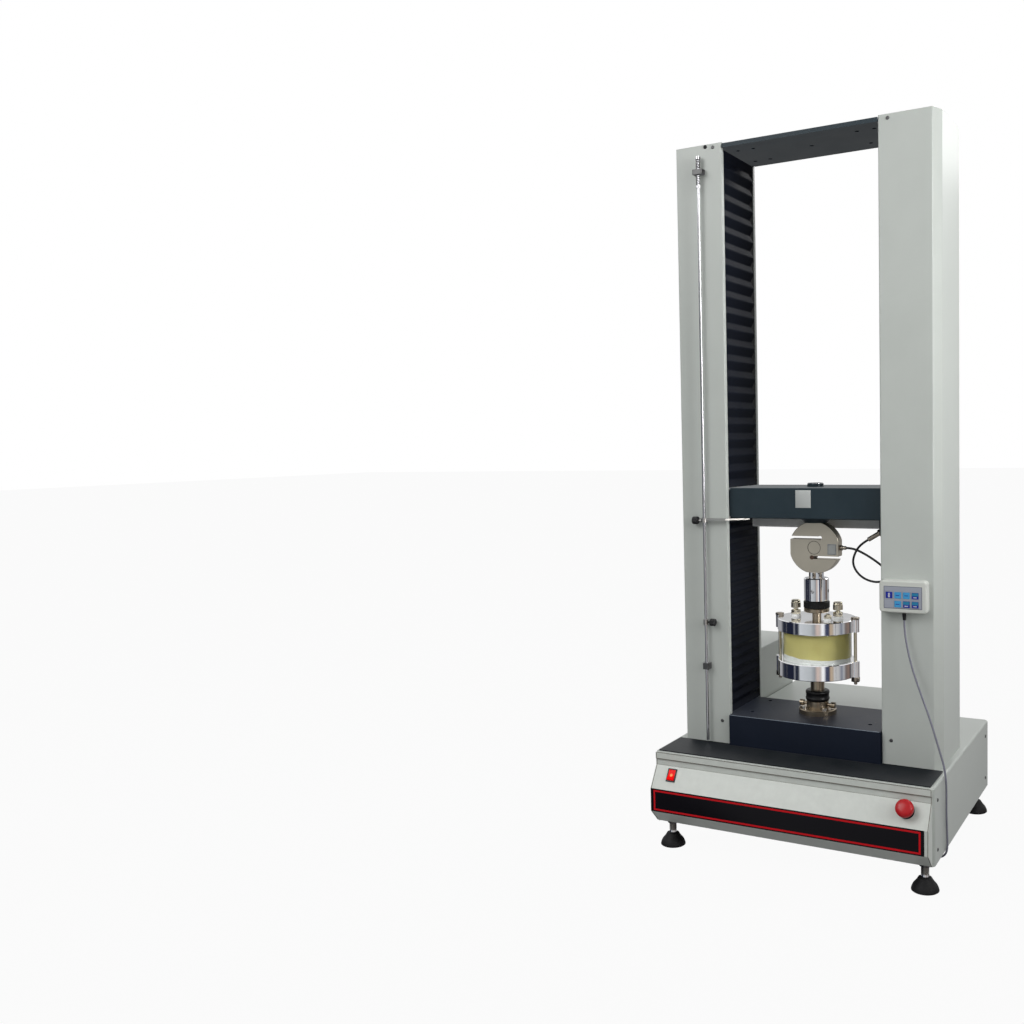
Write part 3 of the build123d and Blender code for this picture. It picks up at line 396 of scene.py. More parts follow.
def makeClearWindow():
    material, tree, shader = newMaterial(
        "clearWindow", {"Base Color": (0.97, 0.98, 0.95, 1), "IOR": 1.2, "Transmission Weight": 1})
    letLightThrough(tree, shader, 0.9)
    grain = addEffect(tree, "grain", {"Roughness": 0.03, "Gloss Change": 0.03, "Drift Scale": 20,
                                      "Grain Scale": 60})
    feed(tree, shader, {"Roughness": grain["Roughness"]})
    addBump(tree, shader, grain["Height"], 0.05, 0.0005)
    return material


def makeLiquid():
    material, tree, shader = newMaterial("paleLiquid", {"IOR": 1.1, "Transmission Weight": 0.5})
    letLightThrough(tree, shader, 0.4)
    grain = addEffect(tree, "grain", {"Color": (0.80, 0.73, 0.30, 1), "Drift": 0.1, "Drift Scale": 22,
                                      "Grain Scale": 30, "Roughness": 0.14, "Gloss Change": 0.06})
    feed(tree, shader, {"Base Color": grain["Color"], "Roughness": grain["Roughness"]})
    return material


def makePacking():
    material, tree, shader = newMaterial("whitePacking")
    grain = addEffect(tree, "grain", {"Color": (0.66, 0.68, 0.69, 1), "Drift": 0.1, "Drift Scale": 60,
                                      "Grain Scale": 240, "Roughness": 0.8, "Gloss Change": 0.1})
    feed(tree, shader, {"Base Color": grain["Color"], "Roughness": grain["Roughness"]})
    addBump(tree, shader, grain["Height"], 0.7, 0.003)
    return material


litRocker = {"centre": (-286, -243, 190), "radius": 5, "body": (0.55, 0.001, 0.002, 1),
             "edge": (0.7, 0.0, 0.0, 1), "hot": (1, 0.75, 0.25, 1), "hotFrom": 0.8, "glow": 0.6}


def makeLitRocker():
    # Red lens with a lamp behind its middle
    facts = litRocker
    material, tree, shader = newMaterial(
        "litRocker", {"Base Color": facts["body"], "Roughness": 0.2, "Specular IOR Level": 0.08,
                      "Emission Strength": facts["glow"]})
    grow = 1000 / facts["radius"]
    mapping = addNode(tree, "Mapping", {
        "Vector": addNode(tree, "TexCoord").outputs["Object"], "Scale": (grow, grow, grow),
        "Location": tuple(-value * grow for value in place(*facts["centre"]))})
    ball = addNode(tree, "TexGradient", {"Vector": mapping.outputs["Vector"]}, gradient_type="SPHERICAL")
    ramp = addNode(tree, "ValToRGB", {"Fac": ball.outputs["Fac"]})
    edge, hot = ramp.color_ramp.elements
    edge.color, hot.color, hot.position = facts["edge"], facts["hot"], facts["hotFrom"]
    feed(tree, shader, {"Emission Color": ramp.outputs["Color"]})
    return material


finishes = {name: makePaint(name) for name in paintLooks}
finishes.update({name: makeMetal(name) for name in metalLooks})
finishes.update({"bellowsCloth": makeBellowsCloth(), "clearWindow": makeClearWindow(),
                 "paleLiquid": makeLiquid(), "whitePacking": makePacking(), "litRocker": makeLitRocker()})

slotFinishes = {
    "painted_light": "paleEnamel", "painted_slate": "slateEnamel", "painted_grey": "railGreyLit",
    "black_frame": "blackFrame", "steel": "groundSteel", "chrome": "brightChrome",
    "polished_aluminium": "polishedFlange", "nickel": "satinNickel", "clear_window": "clearWindow",
    "cell_liquid": "paleLiquid", "rubber": "blackRubber", "black_plastic": "blackMoulding",
    "red_plastic": "redMoulding", "keypad_plastic": "keypadMoulding", "key_plastic": "keypadMoulding",
    "bellows_cloth": "bellowsCloth", "cable_black": "cableSheath", "cord_grey": "cordSheath",
}
# Nodes whose finish differs from the rest of their slot
nodeFinishes = {
    "front_panel": "speckledEnamel", "lower_block": "tableSlate", "top_mat": "matRubber",
    "power_rocker": "litRocker", "cell_stand": "bronzedSteel", "left_valve_knob": "paleNickel",
    "right_valve_knob": "paleNickel", "cell_fittings": "paleNickel", "cable_gland": "darkNickel",
    "cable_connector": "darkNickel", "limit_rod": "rodSteel", "piston_rod": "bronzedSteel",
    "limit_rod_brackets": "darkSteel", "key_1": "keyBlue", "key_2": "keySky", "key_3": "keySky",
    "key_4": "keyBlue", "key_5": "keySky", "key_6": "keyBlue", "key_7": "keyBlue",
}
# The polished cell would show the black inside of the columns on its right
mirrorsMiss = ("left_column_cover", "right_column_cover", "base_frame", "left_ball_screw",
               "right_ball_screw", "guides_and_bearings", "nuts_and_bushes")


def finishNodes():
    for part in frame["record"]["subparts"]:
        name = nodeFinishes.get(part["node"], slotFinishes[part["material_slot"]])
        mesh = frame["nodes"][part["node"]].data
        mesh.materials.clear()
        mesh.materials.append(finishes[name])
    for name in mirrorsMiss:
        frame["nodes"][name].visible_glossy = False


finishNodes()
print("finishes made:", len(finishes))


# Modelling helpers: each makes one placed part, from millimetres, and a piece is a list of parts

def addPiece(name, parts, finish, body, smooth=35, replaced=()):
    bm = bmesh.new()
    for part in parts:
        mesh = bpy.data.meshes.new("part")
        part.to_mesh(mesh)
        part.free()
        bm.from_mesh(mesh)
        bpy.data.meshes.remove(mesh)
    bmesh.ops.remove_doubles(bm, verts=bm.verts, dist=1e-6)
    mesh = bpy.data.meshes.new(name)
    bm.to_mesh(mesh)
    bm.free()
    mesh.materials.append(finishes[finish])
    mesh.shade_smooth()
    mesh.set_sharp_from_angle(angle=math.radians(smooth))
    piece = bpy.data.objects.new(name, mesh)
    bpy.context.scene.collection.objects.link(piece)
    if body:
        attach(piece, body)
    if replaced:
        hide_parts(*replaced)
    return piece


def upright(x=0, y=0, z=0):
    return Matrix.Translation(place(x, y, z))


def facingFront(x, y, z):
    # Local Z points at whoever stands in front of the machine
    return upright(x, y, z) @ Matrix.Rotation(math.pi / 2, 4, "X")


def facingBack(x, y, z):
    return upright(x, y, z) @ Matrix.Rotation(math.pi, 4, "Z") @ Matrix.Rotation(math.pi / 2, 4, "X")


def facingSide(x, y, z, side):
    return upright(x, y, z) @ Matrix.Rotation(side * math.pi / 2, 4, "Y")


def placed(part, matrix=None):
    bmesh.ops.transform(part, matrix=upright() if matrix is None else matrix, verts=part.verts)
    return part


def vertsIn(geom):
    return [item for item in geom if isinstance(item, bmesh.types.BMVert)]


def softenEdges(part, width):
    edges = [edge for edge in part.edges if len(edge.link_faces) == 2
             and edge.calc_face_angle(0) > math.radians(40)]
    bmesh.ops.bevel(part, geom=edges, offset=width / 1000, offset_type="OFFSET", affect="EDGES",
                    segments=2, profile=0.5, material=-1)


def bar(low, high, soften=0.0):
    # A bar between two corners
    part = bmesh.new()
    bmesh.ops.create_cube(part, size=1)
    bmesh.ops.scale(part, vec=[(b - a) / 1000 for a, b in zip(low, high)], verts=part.verts)
    bmesh.ops.translate(part, vec=[(a + b) / 2000 for a, b in zip(low, high)], verts=part.verts)
    if soften:
        softenEdges(part, soften)
    return placed(part)


def spun(profile, matrix, ring=False, steps=56):
    # A turned solid about Z, from points of radius and height
    part = bmesh.new()
    verts = [part.verts.new((radius / 1000, 0, z / 1000)) for radius, z in profile]
    pairs = list(zip(verts, verts[1:])) + ([(verts[-1], verts[0])] if ring else [])
    edges = [part.edges.new(pair) for pair in pairs]
    bmesh.ops.spin(part, geom=verts + edges, cent=(0, 0, 0), axis=(0, 0, 1), dvec=(0, 0, 0),
                   angle=2 * math.pi, steps=steps, use_merge=True)
    bmesh.ops.remove_doubles(part, verts=part.verts, dist=1e-6)
    bmesh.ops.recalc_face_normals(part, faces=part.faces)
    return placed(part, matrix)


def knurled(radius, bore, z0, z1, matrix, ridges=40, depth=0.5, soften=1.0):
    # A ring with upright grooves round its rim
    part = bmesh.new()
    bmesh.ops.create_cone(part, cap_ends=False, segments=2 * ridges, radius1=radius / 1000,
                          radius2=radius / 1000, depth=(z1 - z0 - 2 * soften) / 1000)
    part.verts.ensure_lookup_table()
    for vert in part.verts:
        turn = math.atan2(vert.co.y, vert.co.x) / math.pi * ridges
        if round(turn) % 2:
            vert.co.xy *= (radius - depth) / radius
    for end in (1, -1):
        rim = [edge for edge in part.edges if edge.is_boundary and edge.verts[0].co.z * end > 0]
        for inset, rise in ((soften, soften), (radius - bore - soften, 0)):
            grown = bmesh.ops.extrude_edge_only(part, edges=rim)["geom"]
            rim = [item for item in grown if isinstance(item, bmesh.types.BMEdge)]
            for vert in vertsIn(grown):
                flat = vert.co.xy.length
                goal = max(flat - inset / 1000, bore / 1000) if rise else bore / 1000
                vert.co.xy *= goal / flat
                vert.co.z += end * rise / 1000
    inner = [edge for edge in part.edges if edge.is_boundary]
    bmesh.ops.bridge_loops(part, edges=inner)
    bmesh.ops.recalc_face_normals(part, faces=part.faces)
    bmesh.ops.translate(part, vec=(0, 0, (z0 + z1) / 2000), verts=part.verts)
    return placed(part, matrix)


def hexNut(across, z0, z1, matrix, soften):
    part = bmesh.new()
    corner = across / math.sqrt(3) / 1000
    bmesh.ops.create_cone(part, cap_ends=True, segments=6, radius1=corner, radius2=corner,
                          depth=(z1 - z0) / 1000)
    bmesh.ops.translate(part, vec=(0, 0, (z0 + z1) / 2000), verts=part.verts)
    softenEdges(part, soften)
    return placed(part, matrix)


def coiled(radius, wire, z0, z1, turns, matrix):
    part = bmesh.new()
    bmesh.ops.create_circle(part, cap_ends=True, radius=wire / 1000, segments=8)
    bmesh.ops.rotate(part, cent=(0, 0, 0), matrix=Matrix.Rotation(math.pi / 2, 3, "X"), verts=part.verts)
    bmesh.ops.translate(part, vec=(radius / 1000, 0, z0 / 1000), verts=part.verts)
    steps = 18 * turns
    start = part.verts[:] + part.edges[:] + part.faces[:]
    bmesh.ops.spin(part, geom=start, cent=(0, 0, 0), axis=(0, 0, 1), dvec=(0, 0, (z1 - z0) / 1000 / steps),
                   angle=2 * math.pi * turns, steps=steps, use_merge=False)
    bmesh.ops.recalc_face_normals(part, faces=part.faces)
    return placed(part, matrix)


def frontSheet(left, right, bottom, top, front):
    # One flat face that looks forward, not yet placed
    part = bmesh.new()
    bmesh.ops.create_grid(part, x_segments=1, y_segments=1, size=0.5)
    bmesh.ops.rotate(part, cent=(0, 0, 0), matrix=Matrix.Rotation(math.pi / 2, 3, "X"), verts=part.verts)
    bmesh.ops.scale(part, vec=((right - left) / 1000, 1, (top - bottom) / 1000), verts=part.verts)
    middle = ((left + right) / 2000, front / 1000, (bottom + top) / 2000)
    bmesh.ops.translate(part, vec=middle, verts=part.verts)
    return part


def thickened(part, thick):
    grown = bmesh.ops.extrude_face_region(part, geom=part.faces[:])["geom"]
    bmesh.ops.translate(part, vec=(0, -thick / 1000, 0), verts=vertsIn(grown))
    bmesh.ops.recalc_face_normals(part, faces=part.faces)
    return placed(part)


def frameLine(left, right, bottom, top, width, front, thick):
    # A flat rectangular outline that faces the front
    part = frontSheet(left, right, bottom, top, front)
    middle = part.faces[:]
    bmesh.ops.inset_region(part, faces=middle, thickness=width / 1000, use_even_offset=True,
                           use_boundary=True)
    bmesh.ops.delete(part, geom=middle, context="FACES")
    return thickened(part, thick)


def roundedPath(*knots, steps=6):
    # Points along smooth stretches, each given by its end and two handles
    points = [Vector((*knots[0], 0))]
    for first, second, end in zip(knots[1::3], knots[2::3], knots[3::3]):
        stretch = geometry.interpolate_bezier(points[-1], (*first, 0), (*second, 0), (*end, 0), steps + 1)
        points += [Vector(point) for point in stretch[1:]]
    return [(point.x, point.y) for point in points]


# Cords

cellCable = {
    "diameter": 5.5, "length": 0.3212,
    "route": [(76, 0, 727), (92, 0, 727), (118, -6, 718), (146, -10, 703), (169, -8, 686), (180, -3, 667),
              (170, 4, 651), (145, 9, 645), (117, 11, 652), (97, 11, 669), (88, 10, 692), (96, 8, 717),
              (111.15, 5, 737.04), (130, 5, 748.37)],
}
keypadCord = {
    "diameter": 4.6, "length": 0.580,
    "route": [(247, -116.5, 581), (247, -116.5, 560), (252, -119, 529), (261, -122, 489), (274, -125, 450),
              (289, -128, 411), (305, -131, 370), (319, -134, 328), (331, -136, 290), (340, -137, 259),
              (343.5, -136, 226), (343, -133, 190), (342, -129, 154), (342, -125, 120), (342.5, -122, 90),
              (341.5, -120, 64), (330, -118, 49), (315, -117, 50), (315, -117, 67)],
}


def addCord(name, facts, finish, body, node):
    curve = bpy.data.curves.new(name, "CURVE")
    curve.dimensions = "3D"
    spline = curve.splines.new("NURBS")
    spline.points.add(len(facts["route"]) - 1)
    for point, position in zip(spline.points, facts["route"]):
        point.co = (*place(*position), 1)
    spline.order_u = 3
    spline.use_endpoint_u = True
    spline.resolution_u = 10
    curve.bevel_depth = facts["diameter"] / 2000
    curve.bevel_resolution = 5
    curve.use_fill_caps = True
    curve.materials.append(finishes[finish])
    piece = bpy.data.objects.new(name, curve)
    bpy.context.scene.collection.objects.link(piece)
    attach(piece, body)
    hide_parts(node)
    return piece


cellCablePiece = addCord("loadCellCableSheath", cellCable, "cableSheath", "crosshead",
                         "load_cell_cable")
keypadCordPiece = addCord("keypadCordSheath", keypadCord, "cordSheath", "root", "keypad_cord")
print("cords laid")


# Bellows: one pleated curtain on each side, above and below the crosshead

bellows = {
    "inner": 194, "depth": 11, "skin": 1.0, "foldRadius": 3, "halfWidth": 97.5,
    "upper": {"node": "upper_bellows", "pleats": 21, "fixedAtTop": True},
    "lower": {"node": "lower_bellows", "pleats": 18, "fixedAtTop": False},
}
bellowsGuide = {"near": 192.4, "far": 216, "start": 98.3, "end": 99.6}


def pleatedCurtain(low, high, pleats, side):
    part = bmesh.new()
    rows = 2 * pleats
    bmesh.ops.create_grid(part, x_segments=rows, y_segments=6, size=0.5)
    bmesh.ops.rotate(part, cent=(0, 0, 0), matrix=Matrix.Rotation(-math.pi / 2, 3, "Y"), verts=part.verts)
    folded = [vert for vert in part.verts if round((vert.co.z + 0.5) * rows) % 2]
    width = bellows["halfWidth"] / 500
    bmesh.ops.scale(part, vec=(1, width, (high - low) / 1000), verts=part.verts)
    bmesh.ops.translate(part, vec=(side * bellows["depth"] / 1000, 0, 0), verts=folded)
    middle = (side * bellows["inner"] / 1000, 0, (low + high) / 2000)
    bmesh.ops.translate(part, vec=middle, verts=part.verts)
    creases = [edge for edge in part.edges if abs(edge.verts[0].co.z - edge.verts[1].co.z) < 1e-6
               and len(edge.link_faces) == 2]
    bmesh.ops.bevel(part, geom=creases, offset=bellows["foldRadius"] / 1000, offset_type="OFFSET",
                    affect="EDGES", segments=3, profile=0.5, material=-1)
    bmesh.ops.recalc_face_normals(part, faces=part.faces)
    bmesh.ops.solidify(part, geom=part.faces[:], thickness=bellows["skin"] / 1000)
    bmesh.ops.recalc_face_normals(part, faces=part.faces)
    return placed(part)


def makeBellows():
    for name in ("upper", "lower"):
        facts = bellows[name]
        low, high = (corner.z * 1000 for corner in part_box(facts["node"]))
        for side, word in ((-1, "Left"), (1, "Right")):
            piece = addPiece(name + word + "Bellows", [pleatedCurtain(low, high, facts["pleats"], side)],
                             "bellowsCloth", None, 60)
            piece.visible_glossy = False
            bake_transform(piece)
            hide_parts(facts["node"])


def makeBellowsGuides():
    # Black strips inside the covers, which hide the ends of the pleats
    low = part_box(bellows["lower"]["node"])[0].z * 1000
    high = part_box(bellows["upper"]["node"])[1].z * 1000
    parts = []
    for side in (-1, 1):
        left, right = sorted((side * bellowsGuide["near"], side * bellowsGuide["far"]))
        for end in (-1, 1):
            front, back = sorted((end * bellowsGuide["start"], end * bellowsGuide["end"]))
            parts.append(bar((left, front, low), (right, back, high), 0.3))
    addPiece("bellowsGuides", parts, "blackFrame", "root").visible_glossy = False


makeBellows()
makeBellowsGuides()
print("bellows pleated")


# Bare name strip with its red outline, on the upright face of the nose

nameStrip = {"face": -261, "left": -333, "right": 325, "bottom": 102, "top": 158, "thick": 0.6,
             "endInset": 7.5, "sideInset": 3.2, "lineWidth": 4.2, "lineProud": 0.25}


def makeNameStrip():
    strip = nameStrip
    left, right, bottom, top = (strip[name] for name in ("left", "right", "bottom", "top"))
    front, ends, sides = strip["face"] - strip["thick"], strip["endInset"], strip["sideInset"]
    addPiece("nameStrip", [bar((left, front, bottom), (right, strip["face"], top), 0.25)],
             "stripBlack", "root")
    line = frameLine(left + ends, right - ends, bottom + sides, top - sides, strip["lineWidth"], front,
                     strip["lineProud"])
    addPiece("nameStripLine", [line], "stripRed", "root")


# Painted shade on the front panel: dark strips for the shadow lines at the top of its lip, under its lip and
# along the top of the slant, and dark lines at the joints at its two ends
panelShadeLines = {
    "half": 333, "proud": 0.2, "wide": 1.4, "thick": 1.2, "deep": 2, "ends": (-331, 333.2),
    "lines": [(-231, 237.2, 238.2), (-230.8, 221.8, 224), (-228.8, 207.6, 208.3)],
    "profile": [(-231, 236), (-231, 224), (-228.5, 222.5), (-228.5, 208), (-261, 158), (-261, 102),
                (-228.5, 69)],
}


def makePanelShadeLines():
    facts = panelShadeLines
    half, wide = facts["half"], facts["wide"]
    parts = [bar((-half, front, low), (half, front + facts["deep"], high), 0.2)
             for front, low, high in facts["lines"]]
    for right in facts["ends"]:
        part = bmesh.new()
        verts = [part.verts.new(((right - wide) / 1000, y / 1000, z / 1000)) for y, z in facts["profile"]]
        edges = [part.edges.new(pair) for pair in zip(verts, verts[1:])]
        grown = bmesh.ops.extrude_edge_only(part, edges=edges)["geom"]
        bmesh.ops.translate(part, vec=(wide / 1000, 0, 0), verts=vertsIn(grown))
        bmesh.ops.recalc_face_normals(part, faces=part.faces)
        bmesh.ops.solidify(part, geom=part.faces[:], thickness=facts["thick"] / 1000)
        bmesh.ops.recalc_face_normals(part, faces=part.faces)
        bmesh.ops.translate(part, vec=(0, -facts["proud"] / 1000, 0), verts=part.verts)
        parts.append(placed(part))
    addPiece("panelShadeLines", parts, "seamShade", "root")


makeNameStrip()
makePanelShadeLines()

# Bare plates on the crosshead and the load cell, and the cover of the crosshead's bolt

plates = {"crossheadPlate": ((-19, -88.8, 829), (19, -88, 871)),
          "loadCellPlate": ((34, -15.5, 711), (56, -15, 737))}
plateLine = {"inset": 1, "width": 0.9, "proud": 0.1}
boltCover = [(0, 884.8), (17.5, 884.8), (19.8, 882.5), (19.8, 876), (0, 876)]


def makePlates():
    for name, (low, high) in plates.items():
        addPiece(name, [bar(low, high, 0.3)], "labelGrey", "crosshead")
    low, high = plates["loadCellPlate"]
    inset = plateLine["inset"]
    line = frameLine(low[0] + inset, high[0] - inset, low[2] + inset, high[2] - inset, plateLine["width"],
                     low[1], plateLine["proud"])
    addPiece("loadCellPlateLine", [line], "overlayEdge", "crosshead")
    addPiece("boltCover", [spun(boltCover, upright())], "slateEnamel", "crosshead")


cellMarks = {"nut": 32.4, "nutLow": 652.1, "nutHigh": 665.9, "centre": 727, "face": -15, "cap": 16,
             "line": 1.0, "proud": 0.15, "sunk": -0.3, "potting": (-6, 703), "pottingRadius": 5.15,
             "pottingDepth": 29.6}


def makeCellMarks():
    # Painted shade: a dark ring for the shade in the groove round the load cell's sealed cap; also brown
    # potting in its lower slot, and its lock nut
    facts = cellMarks
    inner, outer = facts["cap"] - facts["line"] / 2, facts["cap"] + facts["line"] / 2
    sunk, proud = facts["sunk"], facts["proud"]
    addPiece("cellCapGrooveShade", [spun([(inner, sunk), (outer, sunk), (outer, proud), (inner, proud)],
                                  facingFront(0, facts["face"], facts["centre"]), ring=True)],
             "blackRubber", "crosshead")
    (x, z), r, back = facts["potting"], facts["pottingRadius"], -facts["pottingDepth"]
    potting = spun([(0, back), (r, back), (r, 0.1), (0, 0.1)], facingFront(x, facts["face"], z), steps=32)
    addPiece("slotPotting", [potting], "pottingBrown", "crosshead")
    addPiece("cellLockNut", [hexNut(facts["nut"], facts["nutLow"], facts["nutHigh"], upright(), 1.2)],
             "darkNickel", "crosshead")


makePlates()
makeCellMarks()
print("plates set")


# Levelling feet: rubber bell, threaded stem and lock nut

feet = {"radius": 30.5, "bell": 34, "stem": 9, "stemTop": 88.5, "thread": 1.4, "pitch": 2, "nut": 22,
        "nutLow": 54, "nutHigh": 66, "x": 310, "front": -193, "rear": 349}


def makeFeet():
    r, top, stem = feet["radius"], feet["bell"], feet["stem"]
    core = stem - feet["thread"]
    flare = roundedPath((r, 2.5), (0.98 * r, 6), (0.93 * r, 10), (0.84 * r, 14.5), (0.7 * r, 19),
                        (0.57 * r, 24), (0.49 * r, 29), (0.44 * r, top - 1), (0.36 * r, top))
    bell = [(0, 0), (r - 1.5, 0), (r, 1.2)] + flare + [(0.3 * r, top - 2), (0, top - 2)]
    collar = [(0, top - 3), (stem, top - 3), (stem, top + 2.2), (stem - 1.5, top + 3), (0, top + 3)]
    rod = [(0, top + 2.9), (core, top + 2.9), (core, feet["stemTop"]), (0, feet["stemTop"])]
    for words, side, end in (("front_left", -1, "front"), ("front_right", 1, "front"),
                             ("rear_left", -1, "rear"), ("rear_right", 1, "rear")):
        where = upright(side * feet["x"], feet[end])
        body = words + "_foot"
        name = words.replace("_l", "L").replace("_r", "R")
        addPiece(name + "Bell", [spun(bell, where, steps=64)], "blackRubber", body, 50, [body])
        addPiece(name + "Collar", [spun(collar, where)], "brightChrome", body)
        parts = [spun(rod, where)]
        z = top + 3.5
        while z < feet["nutLow"]:
            parts.append(spun([(core, z), (stem, z + 1), (core, z + 2)], where, ring=True, steps=32))
            z += feet["pitch"]
        addPiece(name + "Stem", parts, "groundSteel", body)
        addPiece(name + "LockNut", [hexNut(feet["nut"], feet["nutLow"], feet["nutHigh"], where, 0.8)],
                 "darkSteel", body)


makeFeet()
print("feet made")

# Stop button: glossy mushroom head

stopButton = {"centre": (282, -240.85, 189), "run": 32.5, "fall": 50, "radius": 20, "low": 13.3,
              "high": 29.3, "washer": [(15.2, 0.1), (18, 0.1), (18, 1.2), (17, 2), (15.2, 2)]}


def onPanel(centre):
    outward = Vector((0, -stopButton["fall"], stopButton["run"])).normalized()
    right = Vector((1, 0, 0))
    turn = Matrix((right, outward.cross(right), outward)).transposed().to_4x4()
    return upright(*centre) @ turn


def makeStopButton():
    r, low, high = stopButton["radius"], stopButton["low"], stopButton["high"]
    where = onPanel(stopButton["centre"])
    dome = roundedPath((r, low + 6), (r, high - 3), (0.72 * r, high), (0, high), steps=10)
    rim = [(5.1, low + 6), (5.1, low), (r - 3, low), (r - 0.8, low + 1), (r, low + 3)]
    addPiece("stopButtonHead", [spun(rim + dome + [(0, low + 6)], where, steps=64)],
             "redMoulding", "estop_mushroom", 50, ["estop_head"])
    addPiece("stopButtonWasher", [spun(stopButton["washer"], where, ring=True)],
             "blackMoulding", "root")


makeStopButton()
print("stop button made")


# Test cell: packing, liquid, fittings and seat bolts

testCell = {"bore": 82.15, "tube": 84, "wall": 1.8, "low": 452, "high": 524, "packingTop": 468.5,
            "packingDip": 7, "lumpScale": 45, "lump": 2.2, "liquidGap": 0.25, "liquidLow": 458,
            "liquidTop": 523.4, "pistonBore": 11.6, "tubeEnd": 0.05}


def tube(inner, outer, low, high):
    return spun([(inner, low), (outer, low), (outer, high), (inner, high)], upright(), ring=True, steps=96)


def makeCellFilling():
    facts = testCell
    r, low, top = facts["bore"], facts["low"], facts["packingTop"]
    crown = [(r, top), (0.8 * r, top), (0.6 * r, top), (0.4 * r, top), (0.2 * r, top), (0, top)]
    packing = spun([(0, low), (r, low)] + crown, upright(), steps=96)
    for vert in packing.verts:
        if vert.co.z > (low + 5) / 1000:
            lump = noise.noise(vert.co * facts["lumpScale"]) * facts["lump"] / 1000
            slope = (vert.co.x / r * 1000 + 1) / 2 * facts["packingDip"] / 1000
            vert.co.z = min(vert.co.z + lump - slope - 0.001, top / 1000)
    addPiece("cellPacking", [packing], "whitePacking", "root", 60, ["cell_filling"])
    liquid = tube(facts["pistonBore"], r - facts["liquidGap"], facts["liquidLow"], facts["liquidTop"])
    addPiece("cellLiquid", [liquid], "paleLiquid", "root")
    outer, end = facts["tube"], facts["tubeEnd"]
    window = tube(outer - facts["wall"], outer, low + end, facts["high"] - end)
    addPiece("cellTube", [window], "clearWindow", "root", replaced=["cell_window"])


tieNuts = {"x": 97, "across": 19, "lowTop": 414, "lowBottom": 402, "stud": 395, "studRadius": 4,
           "highBottom": 554, "highTop": 560}


def makeTieNuts():
    names = ("across", "lowBottom", "lowTop", "studRadius", "stud")
    across, low, high, r, end = (tieNuts[name] for name in names)
    parts = []
    for side in (-1, 1):
        where = upright(side * tieNuts["x"])
        parts += [hexNut(across, low, high, where, 1.2),
                  spun([(0, end), (r - 1, end), (r, end + 1), (r, high), (0, high)], where, steps=32),
                  hexNut(across, tieNuts["highBottom"], tieNuts["highTop"], where, 1.2)]
    addPiece("tieNuts", parts, "darkNickel", "root")


valves = {"offset": 54, "seat": 554, "washer": 12.5, "washerBore": 9.2, "washerHigh": 6, "nut": 21,
          "nutHigh": 16, "knobLow": 575, "knobHigh": 595, "knob": 12, "knobBore": 4.05, "knurlHigh": 14}
ventPlug = {"x": 40, "y": -35, "washer": 11, "washerBore": 4, "washerHigh": 5, "nut": 16, "nutHigh": 7}


def addWasher(name, facts, low, where):
    r, bore, high = facts["washer"], facts["washerBore"], low + facts["washerHigh"]
    profile = [(bore, low), (r, low), (r, high - 1), (r - 1, high), (bore, high)]
    addPiece(name, [spun(profile, where, ring=True)], "whiteNylon", "root")


def makeValves():
    facts = valves
    seat, low, high, r = facts["seat"], facts["knobLow"], facts["knobHigh"], facts["knob"]
    top, shoulder = seat + facts["nutHigh"], low + facts["knurlHigh"]
    for side, word in ((-1, "left"), (1, "right")):
        where = upright(side * facts["offset"])
        addWasher(word + "ValveWasher", facts, seat, where)
        addPiece(word + "ValveNut", [
            hexNut(facts["nut"], seat + facts["washerHigh"] + 0.1, top, where, 1.0),
            spun([(0, top - 0.2), (8, top - 0.2), (6.5, top + 2), (0, top + 2)], where)],
            "paleNickel", "root")
        addPiece(word + "ValveHead", [
            knurled(r, facts["knobBore"], low, shoulder, where, ridges=24),
            spun([(0, shoulder - 0.1), (r - 1.5, shoulder - 0.1), (r - 1, shoulder + 1), (r - 1, high - 1.5),
                  (r - 2.5, high), (0, high)], where)],
            "paleNickel", word + "_valve", replaced=[word + "_valve_knob"])


def makeVentPlug():
    facts = ventPlug
    where = upright(facts["x"], facts["y"])
    addWasher("ventWasher", facts, valves["seat"], where)
    low = valves["seat"] + facts["washerHigh"]
    top = low + facts["nutHigh"]
    addPiece("ventPlug", [
        hexNut(facts["nut"], low + 0.1, top, where, 0.8),
        spun([(0, top - 0.1), (5, top - 0.1), (5, top + 3), (4, top + 4), (0, top + 4)], where)],
        "paleNickel", "root")


tableHoles = {"radius": 2.6, "socket": 1.3, "edgeHalf": 187, "edgeDeep": 1.2,
              "at": [(124, 15), (157, -38), (130, -72), (-147, -76), (-124, 15), (-130, 60), (130, 78)]}


def makeTableTrim():
    # Painted shade: black discs in the table's small tapped holes stand in for their dark insides; painted
    # highlight: a pale strip along its front edge
    low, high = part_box("lower_block")
    top, front = high.z * 1000, (low.y - loadLineY) * 1000
    r, socket, half, deep = (tableHoles[name] for name in ("radius", "socket", "edgeHalf", "edgeDeep"))
    screw = [(0, top - 1), (r, top - 1), (r, top + 0.1), (socket, top + 0.1), (socket - 0.2, top - 0.6),
             (0, top - 0.6)]
    addPiece("tableHoleShade", [spun(screw, upright(x, y), steps=24) for x, y in tableHoles["at"]],
             "blackMoulding", "root")
    addPiece("tableEdgeHighlight", [bar((-half, front - 0.1, top - deep), (half, front + deep, top + 0.1), 0.3)],
             "edgeHighlightPaint", "root")


seatBolts = {"circle": 36, "top": 329, "head": 6.2, "height": 5, "socket": 2.6}


def makeSeatBolts():
    circle, head, top, socket = (seatBolts[name] for name in ("circle", "head", "top", "socket"))
    high = top + seatBolts["height"]
    profile = [(0, high - 2.5), (socket, high - 2.5), (socket + 0.3, high), (head - 0.8, high),
               (head, high - 0.8), (head, top), (0, top)]
    turns = [math.radians(45 + 90 * number) for number in range(4)]
    addPiece("seatBolts", [spun(profile, upright(circle * math.cos(turn), circle * math.sin(turn)), steps=32)
                           for turn in turns], "groundSteel", "root")


lockCollar = {"radius": 29.5, "low": 348, "high": 374, "waist": 1.2, "bore": 17.05}
lockRing = {"radius": 32, "bore": 22.05, "low": 578.3, "high": 594.7, "ridges": 44, "depth": 0.7}


